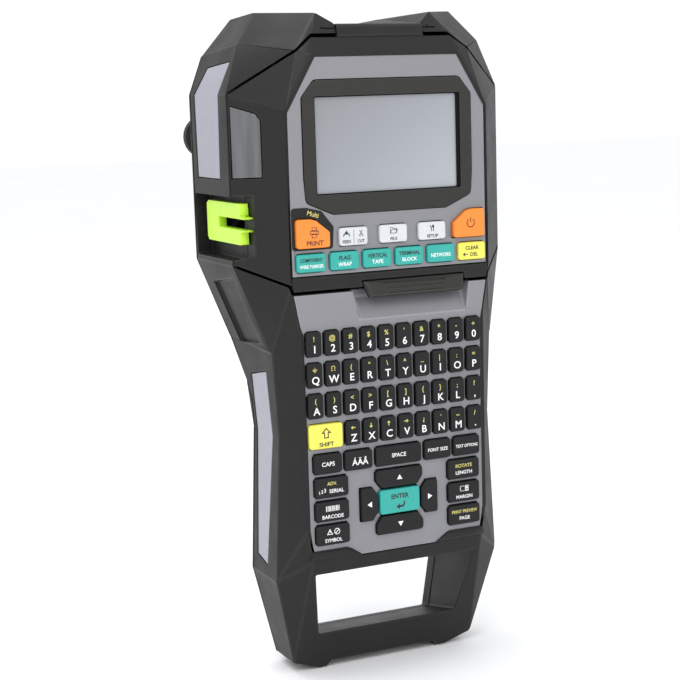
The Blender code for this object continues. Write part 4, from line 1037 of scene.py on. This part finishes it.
# Each line on a key: key, text or icon name, across, up, capital height, finish, width or None.
WHITE, YELLOW, DARK, BROWN = 0, 1, 2, 3
KEY_LINES = [
    ("key_print", "icon:printer", 0.4, 0.4, 1.0, BROWN, None),
    ("key_print", "PRINT", 0.6, -4.1, 2.2, BROWN, 9.0),
    ("key_feed", "icon:feed", -3.6, 1.4, 0.75, DARK, None),
    ("key_feed", "icon:cut", 3.6, 1.2, 0.7, DARK, None),
    ("key_feed", "FEED", -3.5, -2.2, 1.4, DARK, 4.6),
    ("key_feed", "CUT", 3.5, -2.2, 1.4, DARK, 3.6),
    ("key_feed", "icon:bar", 0.0, 0.0, 1.0, DARK, None),
    ("key_file", "icon:folder", 0.0, 1.3, 0.9, DARK, None),
    ("key_file", "FILE", 0.0, -2.3, 1.5, DARK, 4.6),
    ("key_setup", "icon:tools", 0.0, 1.2, 0.75, DARK, None),
    ("key_setup", "SETUP", 0.0, -2.3, 1.5, DARK, 6.0),
    ("key_power", "icon:power", 0.6, 0.0, 1.1, BROWN, None),
    ("key_component", "COMPONENT", 0.0, 1.4, 1.6, DARK, 10.9),
    ("key_component", "WIRE MARKER", 0.0, -1.4, 1.6, WHITE, 11.6),
    ("key_flag", "FLAG", 0.0, 1.4, 1.8, DARK, 6.0),
    ("key_flag", "WRAP", 0.0, -1.4, 1.8, WHITE, 6.6),
    ("key_vertical", "VERTICAL", 0.0, 1.4, 1.8, DARK, 10.0),
    ("key_vertical", "TAPE", 0.0, -1.4, 1.8, WHITE, 6.0),
    ("key_terminal", "TERMINAL", 0.0, 1.4, 1.7, DARK, 10.6),
    ("key_terminal", "BLOCK", 0.0, -1.4, 1.7, WHITE, 7.6),
    ("key_network", "NETWORK", 0.0, -0.6, 1.8, WHITE, 10.4),
    ("key_clear", "CLEAR", 0.0, 1.5, 1.7, DARK, 7.2),
    ("key_clear", "DEL", 1.0, -1.5, 1.7, DARK, 4.6),
    ("key_clear", "icon:left", -3.6, -1.5, 1.3, DARK, None),
    ("key_shift", "icon:shift", 0.0, 1.3, 1.15, DARK, None),
    ("key_shift", "SHIFT", 0.0, -3.6, 2.1, DARK, 8.2),
    ("key_caps", "CAPS", 0.0, 0.0, 2.0, WHITE, 7.2),
    ("key_accents", "ÁÄÂ", 0.6, -0.8, 2.9, WHITE, 9.6),
    ("key_space", "SPACE", 0.0, 0.0, 1.9, WHITE, 8.4),
    ("key_font", "FONT SIZE", 0.0, 0.0, 1.6, WHITE, 11.0),
    ("key_text", "TEXT OPTIONS", 0.0, 0.0, 1.5, WHITE, 11.6),
    ("key_serial", "ADV.", 0.0, 1.9, 1.6, YELLOW, 5.0),
    ("key_serial", "1", -6.3, -1.8, 1.5, WHITE, None),
    ("key_serial", "2", -5.0, -1.4, 1.6, WHITE, None),
    ("key_serial", "3", -3.6, -1.0, 1.8, WHITE, None),
    ("key_serial", "SERIAL", 2.2, -1.6, 1.8, WHITE, 8.6),
    ("key_barcode", "icon:barcode", 0.0, 1.3, 1.0, WHITE, None),
    ("key_barcode", "BARCODE", 0.0, -2.4, 1.7, WHITE, 10.6),
    ("key_symbol", "icon:warning", -1.8, 1.4, 1.0, WHITE, None),
    ("key_symbol", "icon:no_sign", 1.8, 1.4, 1.0, WHITE, None),
    ("key_symbol", "SYMBOL", 0.0, -2.4, 1.7, WHITE, 9.6),
    ("key_rotate", "ROTATE", 0.0, 1.6, 1.7, YELLOW, 8.8),
    ("key_rotate", "LENGTH", 0.0, -1.6, 1.7, WHITE, 8.8),
    ("key_margin", "icon:page", 0.0, 1.5, 0.9, WHITE, None),
    ("key_margin", "MARGIN", 0.0, -2.3, 1.7, WHITE, 9.0),
    ("key_preview", "PRINT PREVIEW", 0.0, 1.6, 1.6, YELLOW, 13.4),
    ("key_preview", "PAGE", 0.0, -1.6, 1.7, WHITE, 6.0),
    ("key_enter", "ENTER", 0.0, 2.3, 2.2, DARK, 9.8),
    ("key_enter", "icon:return", 0.2, -2.1, 1.0, DARK, None),
]
INKS = ["ink_white", "ink_yellow", "ink_black", "ink_brown"]


def draw_icon(shape, name, x, height, size, top, finish_index):
    """A sign made of strokes: a closed stroke has two outlines, and any other is one filled outline."""
    if name in ARROW_TURNS:
        mark(shape, turned_mark(ARROW, ARROW_TURNS[name], size), x, height, top, finish_index)
        return
    if name == "bar":
        mark(shape, bar(-0.1, -3.0, 0.1, 3.0), x, height, top, finish_index)
        return
    thick = sizes().legend_height / MM
    for stroke in ICONS[name]:
        if isinstance(stroke, tuple):
            outer, inner = (np.asarray(line) * size + (x, height) for line in stroke)
            walls = ((outer, INK_FOOT), (outer, INK_FACE), (inner, INK_FACE), (inner, INK_FOOT))
            loops = [place(line[:, 0], top + end * thick, line[:, 1]) for line, end in walls]
            shape.hoop(loops, finish_index)
        else:
            mark(shape, np.asarray(stroke) * size, x, height, top, finish_index)


class LABELMAKER_OT_legends(bpy.types.Operator):
    """Prints the legends on the keys"""

    bl_idname = "labelmaker.legends"
    bl_label = "Legends"

    def execute(self, context):
        shapes = {}
        for node, _, x, height, _, top in LID_KEYS + BODY_KEYS:
            shapes[node] = (Shape(), x, height, top + KEY_DIP)
        for node, text, across, up, capital, ink_index, width in KEY_LINES:
            shape, x, height, top = shapes[node]
            if text.startswith("icon:"):
                draw_icon(shape, text[5:], x + across, height + up, capital, top, ink_index)
            else:
                write(shape, text, x + across, height + up, capital, top, ink_index, width)
        shape = Shape()
        write(shape, "Multi", -38.4, 216.3, 2.1, 1.35, YELLOW, None, -17.0)
        piece("multi_legend", shape, INKS, "lid_assembly", (), 30.0)
        for node, (shape, _, _, _) in shapes.items():
            piece(node + "_legend", shape, INKS, body_of(node), (), 30.0)
        for row, signs in enumerate(LETTER_ROWS):
            shape = Shape()
            for (x, height), (main, second) in zip(letter_places(row), signs):
                write(shape, main, x + 0.2, height - 2.1, 3.5, KEY_DIP, WHITE)
                if second.startswith("icon:"):
                    draw_icon(shape, second[5:], x - 0.1, height + 2.5, 1.15, KEY_DIP, YELLOW)
                else:
                    write(shape, second, x - 0.1, height + 2.5, 2.3, KEY_DIP, YELLOW)
            piece(f"letter_legends_{row + 1}", shape, INKS, f"letter_row_{row + 1}", (), 30.0)
        shape = Shape()
        for name, (x, height) in ARROW_PLACES.items():
            mark(shape, turned_mark(TRIANGLE, ARROW_TURNS[name], 1.5), x, height, KEY_DIP, WHITE)
        piece("arrow_legends", shape, INKS, "arrow_pad", (), 30.0)
        return {"FINISHED"}


# ---------------------------------------------------------------- flanks, rear, inside


class LABELMAKER_OT_flanks(bpy.types.Operator):
    """Makes the reflective strips, the label exit, the cassette window and the port cover"""

    bl_idname = "labelmaker.flanks"
    bl_label = "Flanks"

    def execute(self, context):
        for level in ("upper", "lower"):
            for side in ("right", "left"):
                node = f"reflective_strip_{level}_{side}"
                rounded_copy(node, f"prism_strip_{level}_{side}", 0.0003, ("prism_film",), 1.0, 30.0)
        rounded_copy("exit_guide", "lime_exit", 0.0006, ("lime_gloss",), 1.0, 20.0)
        rounded_copy("cassette_window", "smoked_window", 0.0003, ("smoked_clear",), 1.0, 30.0)
        rounded_copy("port_cover", "port_plug", 0.0005, ("rubber",), 1.0, 30.0)
        return {"FINISHED"}


class LABELMAKER_OT_rear(bpy.types.Operator):
    """Makes the rear stand-offs and the battery door"""

    bl_idname = "labelmaker.rear"
    bl_label = "Rear"

    def execute(self, context):
        # the hatch's rounded edges take the lighter casing finish, a painted highlight
        rounded_copy("battery_door", "battery_hatch", 0.0005, ("grained_black", "casing_highlight"), 1.0, 30.0)
        for side in ("right", "left"):
            rounded_copy(f"rear_foot_{side}", f"stand_off_{side}", 0.0004, ("rubber",), 0.5, 30.0)
        return {"FINISHED"}


# A pair of screws: half their distance, the depth of their seat and their height.
SCREW_PAIRS = [(50, 76.0, 194), (50, 76.0, 262), (40, 48.0, 62)]
SCREW_HEAD = 2.7
SCREW_SIDES = 64
SLOT_HALF_WIDTH = 0.42
SLOT_HALF_LENGTH = 1.6


def cross_radius(angle):
    """How far a cross slot reaches in each direction: to the end of one arm or to the side of the other."""
    c, s = np.abs(np.cos(angle)) + 1e-9, np.abs(np.sin(angle)) + 1e-9
    level = np.minimum(SLOT_HALF_LENGTH / c, SLOT_HALF_WIDTH / s)
    upright = np.minimum(SLOT_HALF_WIDTH / c, SLOT_HALF_LENGTH / s)
    return np.maximum(level, upright)


class LABELMAKER_OT_screws(bpy.types.Operator):
    """Makes the rear screws

    A head is five rings. Three are circles, and two follow the cross slot, whose radius in each direction
    is the larger of its two arms' radii, each arm ending at its side or at its end.
    """

    bl_idname = "labelmaker.screws"
    bl_label = "Screws"

    def execute(self, context):
        cross = cross_radius(np.linspace(0.0, 2 * math.pi, SCREW_SIDES, endpoint=False))
        shape = Shape()
        circles = [(SCREW_HEAD, -0.1), (SCREW_HEAD, 0.25), (SCREW_HEAD - 0.5, 0.7)]
        steps = circles + [(cross, 0.75), (0.92 * cross, 0.05)]
        for x, depth, height in SCREW_PAIRS:
            for side in (-1, 1):
                shape.turned((side * x, depth, height), steps, SCREW_SIDES)
        piece("rear_screws", shape, ["dark_steel"], "casing", (), 30.0)
        return {"FINISHED"}


class LABELMAKER_OT_rear_trim(bpy.types.Operator):
    """Makes the blank rating plate and the battery door's grip ribs"""

    bl_idname = "labelmaker.rear_trim"
    bl_label = "Rear Trim"

    def execute(self, context):
        shape = Shape()
        shape.profile(bar(-27, 226, 27, 252), 2.0, [(0.0, 75.9), (0.0, 76.08), (0.08, 76.14)])
        piece("rating_plate", shape, ["plate_grey"], "casing")
        shape = Shape()
        for step in range(5):
            height = 75.0 + 2.2 * step
            shape.block((-12.0, 47.8, height - 0.5), (12.0, 48.55, height + 0.5), 0.25)
        # the ribs take the lighter casing finish, the same painted highlight as the rounded edges
        piece("door_ribs", shape, ["casing_highlight"], "battery_door")
        return {"FINISHED"}


# A board's chips: x, height, width, height of the body, rise, legs along the top and bottom.
MAIN_CHIPS = [
    (0.0, 236.0, 14.0, 14.0, 1.2, 9),
    (-26.0, 252.0, 10.0, 7.0, 1.1, 6),
    (28.0, 250.0, 8.0, 12.0, 1.1, 5),
    (-30.0, 216.0, 9.0, 6.0, 1.0, 5),
    (30.0, 214.0, 12.0, 7.0, 1.1, 7),
]
DISPLAY_CHIPS = [
    (-18.0, 246.0, 9.0, 9.0, 1.0, 6),
    (14.0, 252.0, 12.0, 5.0, 1.0, 7),
    (20.0, 232.0, 6.0, 6.0, 0.9, 4),
]
KEYPAD_CHIPS = [(-30.0, 120.0, 7.0, 7.0, 1.0, 5), (26.0, 100.0, 8.0, 5.0, 1.0, 5)]
LEG_WIDTH = 0.4


def add_chips(shape, chips, depth):
    """Chips on a board's rear face, with legs; the finishes are body, legs and small parts."""
    for x, height, wide, high, rise, legs in chips:
        low = (x - wide / 2, depth + 0.1, height - high / 2)
        top = (x + wide / 2, depth + rise, height + high / 2)
        shape.block(low, top)
        for at in np.linspace(x - wide / 2 + 0.8, x + wide / 2 - 0.8, legs):
            for end, way in ((low[2], -1), (top[2], 1)):
                z0, z1 = sorted((end - 0.1 * way, end + 1.1 * way))
                shape.block((at - LEG_WIDTH / 2, depth, z0), (at + LEG_WIDTH / 2, depth + 0.35, z1), 0.05, 1)
        for at in np.linspace(x - wide / 2, x + wide / 2, 4):
            z0 = height + high / 2 + 2.2
            shape.block((at - 0.5, depth, z0), (at + 0.5, depth + 0.55, z0 + 1.8), 0.1, 2)


class LABELMAKER_OT_boards(bpy.types.Operator):
    """Makes the chips and small parts on the three circuit boards"""

    bl_idname = "labelmaker.boards"
    bl_label = "Board Parts"

    def execute(self, context):
        for name, chips, depth, body in (
            ("main_board_parts", MAIN_CHIPS, 69.2, "casing"),
            ("display_board_parts", DISPLAY_CHIPS, 9.6, "lid_assembly"),
            ("keypad_board_parts", KEYPAD_CHIPS, 7.45, "casing"),
        ):
            shape = Shape()
            add_chips(shape, chips, depth)
            piece(name, shape, ["chip_black", "steel", "brass"], body)
        return {"FINISHED"}


MOTOR_END = (-31.48, 62.6, 206.2)  # middle of the motor's rear face
CASSETTE_FRONT = 26.0
HUB_HEIGHT = 262.0
# A hub's profile, as (radius, along) steps; the rim's radii are counted from the hub's own.
HUB_RIM = [(0.0, 0.1), (0.0, -0.5), (-0.5, -0.9), (-1.6, -0.9), (-1.9, -0.4)]
HUB_MIDDLE = [(5.2, -0.4), (4.9, -1.4), (4.4, -1.7), (3.1, -1.7), (2.8, -0.2)]
# The finish of each CAD piece that is kept as it is.
DRESSED = {
    "keypad_board": "circuit_board",
    "main_board": "circuit_board",
    "display_board": "circuit_board",
    "battery_pack": "battery_wrap",
    "print_head": "dark_steel",
    "print_chassis": "steel",
    "feed_motor": "steel",
    "platen_roller": "rubber",
    "roller_gear": "pale_moulded",
    "motor_pinion": "brass",
    "cutter_blade": "steel",
    "label_cassette": "grey_moulded",
    "hinge_pin": "oiled_steel",
}


class LABELMAKER_OT_mechanism(bpy.types.Operator):
    """Finishes the boards, the battery and the print mechanism, and adds their small detail

    The hubs and the motor's end are profiles turned about their axes; ribs and contacts are chamfered blocks.
    """

    bl_idname = "labelmaker.mechanism"
    bl_label = "Mechanism"

    def execute(self, context):
        for node, look in DRESSED.items():
            dress(node, look)
        self.cassette_detail()
        shape = Shape()
        for x in (-9.0, 0.0, 9.0):
            shape.block((x - 2.5, 42.9, 144.0), (x + 2.5, 43.35, 149.5), 0.12)
        piece("battery_contacts", shape, ["brass"], "casing")
        shape = Shape()
        steps = [(7.2, -0.1), (7.2, 0.35), (6.9, 0.5), (3.1, 0.5), (2.9, 0.7), (2.9, 1.4), (2.6, 1.6)]
        shape.turned(MOTOR_END, steps, 48)
        for x in (-35.9, -27.1):
            shape.block((x - 0.3, 62.5, 205.0), (x + 0.3, 64.4, 207.4), 0.08, 1)
        piece("motor_end", shape, ["pale_moulded", "brass"], "casing")
        return {"FINISHED"}

    def cassette_detail(self):
        """Spool hubs with six spokes each, two ribs and a blank sticker."""
        shape = Shape()
        for x, radius in ((-22.0, 15.0), (24.0, 11.0)):
            rim = [(radius + out, along) for out, along in HUB_RIM]
            shape.turned((x, CASSETTE_FRONT, HUB_HEIGHT), rim + HUB_MIDDLE, 64)
            for turn in range(6):
                spoke = turned_mark(bar(6.4, -0.6, radius - 3.0, 0.6), turn * 2 / 3, 1.0) + (x, HUB_HEIGHT)
                ends = (CASSETTE_FRONT - 0.3, CASSETTE_FRONT - 0.8)
                shape.rings([place(spoke[:, 0], depth, spoke[:, 1]) for depth in ends], 1)
        for height in (230.0, 242.5):
            shape.block((-46.0, 25.4, height - 0.5), (44.0, 26.1, height + 0.5), 0.15)
        piece("cassette_hubs", shape, ["grey_moulded", "pale_moulded"], "casing")
        shape = Shape()
        shape.block((-30.0, 25.85, 231.8), (30.0, 26.05, 240.8), 0.04)
        piece("cassette_sticker", shape, ["label_paper"], "casing")


# ---------------------------------------------------------------- stage


# In metres, with the directions as they were matched.
CAMERA_AT = (-0.32303, -0.68342, 0.26886)
CAMERA_AHEAD = (0.41298, 0.89780, -0.15297)
CAMERA_RIGHT = (0.90603, -0.42206, -0.03107)
FLOOR_HALF = 6.0
SKY = (0.97, 0.98, 1.0, 1.0)
SKY_STRENGTH = 1.06


def lamp(name, place_at, aim, size, watts):
    """A soft rectangular light, turned towards a point."""
    data = bpy.data.lights.new(name, "AREA")
    data.shape = "RECTANGLE"
    data.size, data.size_y = size
    data.energy = watts
    made = bpy.data.objects.new(name, data)
    bpy.context.scene.collection.objects.link(made)
    made.location = place_at
    made.rotation_euler = (Vector(aim) - Vector(place_at)).to_track_quat("-Z", "Y").to_euler()


class LABELMAKER_OT_stage(bpy.types.Operator):
    """Makes the floor, the lights and the camera"""

    bl_idname = "labelmaker.stage"
    bl_label = "Stage"

    def execute(self, context):
        scene = context.scene
        mesh = bpy.data.meshes.new("studio_floor")
        far = FLOOR_HALF
        mesh.from_pydata([(-far, -far, 0), (far, -far, 0), (far, far, 0), (-far, far, 0)], [], [(0, 1, 2, 3)])
        paper = Finish("studio_paper", (0.94, 0.94, 0.94), 0.9)
        paper.shade(paper.noise(0.2, 2.0), 0.01)
        mesh.materials.append(paper.material)
        floor = bpy.data.objects.new("studio_floor", mesh)
        floor.location = (0, 0, -0.0002)
        scene.collection.objects.link(floor)
        world = bpy.data.worlds.new("studio")
        world.use_nodes = True
        world.node_tree.nodes["Background"].inputs[0].default_value = SKY
        world.node_tree.nodes["Background"].inputs[1].default_value = SKY_STRENGTH
        scene.world = world
        scene.view_settings.view_transform = "Standard"
        middle = (0.0, 0.0, 0.17)
        lamp("key_light", (-0.8, -0.9, 1.2), (0.0, 0.0, 0.26), (0.7, 0.7), 6.5)
        lamp("front_light", (0.5, -1.6, 0.75), middle, (0.9, 0.8), 3.0)
        lamp("top_light", (-0.3, 0.2, 1.3), middle, (0.9, 0.7), 5.0)
        camera = bpy.data.cameras.new("camera")
        camera.lens = 84.7
        camera.sensor_width = 36.0
        camera.clip_start = 0.01
        holder = bpy.data.objects.new("camera", camera)
        scene.collection.objects.link(holder)
        ahead = Vector(CAMERA_AHEAD).normalized()
        right = Vector(CAMERA_RIGHT)
        right = (right - ahead * right.dot(ahead)).normalized()
        up = right.cross(ahead)
        turned = Matrix((right, up, -ahead)).transposed().to_4x4()
        holder.matrix_world = Matrix.Translation(CAMERA_AT) @ turned
        scene.camera = holder
        return {"FINISHED"}


OPERATORS = (
    LABELMAKER_OT_stage,
    LABELMAKER_OT_casing,
    LABELMAKER_OT_panels,
    LABELMAKER_OT_display,
    LABELMAKER_OT_surrounds,
    LABELMAKER_OT_lid_keys,
    LABELMAKER_OT_body_keys,
    LABELMAKER_OT_legends,
    LABELMAKER_OT_flanks,
    LABELMAKER_OT_rear,
    LABELMAKER_OT_screws,
    LABELMAKER_OT_rear_trim,
    LABELMAKER_OT_boards,
    LABELMAKER_OT_mechanism,
)


class LABELMAKER_PT_sidebar(bpy.types.Panel):
    """Lists the label maker's pieces and settings"""

    bl_idname = "LABELMAKER_PT_sidebar"
    bl_label = "Label Maker"
    bl_space_type = "VIEW_3D"
    bl_region_type = "UI"
    bl_category = "Label Maker"

    def draw(self, context):
        for operator in OPERATORS:
            self.layout.operator(operator.bl_idname)
        for group in (context.scene.label_maker_sizes, context.scene.label_maker_colours):
            for key in group.__annotations__:
                self.layout.prop(group, key)


CLASSES = (LabelMakerSizes, LabelMakerColours, *OPERATORS, LABELMAKER_PT_sidebar)


def register():
    """Makes the settings and the operators known."""
    for one in CLASSES:
        bpy.utils.register_class(one)
    bpy.types.Scene.label_maker_sizes = PointerProperty(type=LabelMakerSizes)
    bpy.types.Scene.label_maker_colours = PointerProperty(type=LabelMakerColours)


def unregister():
    """Takes the settings and the operators away again."""
    del bpy.types.Scene.label_maker_colours
    del bpy.types.Scene.label_maker_sizes
    for one in reversed(CLASSES):
        bpy.utils.unregister_class(one)


def main():
    """Makes every piece."""
    register()
    for operator in OPERATORS:
        group, name = operator.bl_idname.split(".")
        result = getattr(getattr(bpy.ops, group), name)()
        if result != {"FINISHED"}:
            raise RuntimeError(f"{operator.bl_label} didn't finish")
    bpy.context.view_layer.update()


if __name__ == "__main__":
    main()
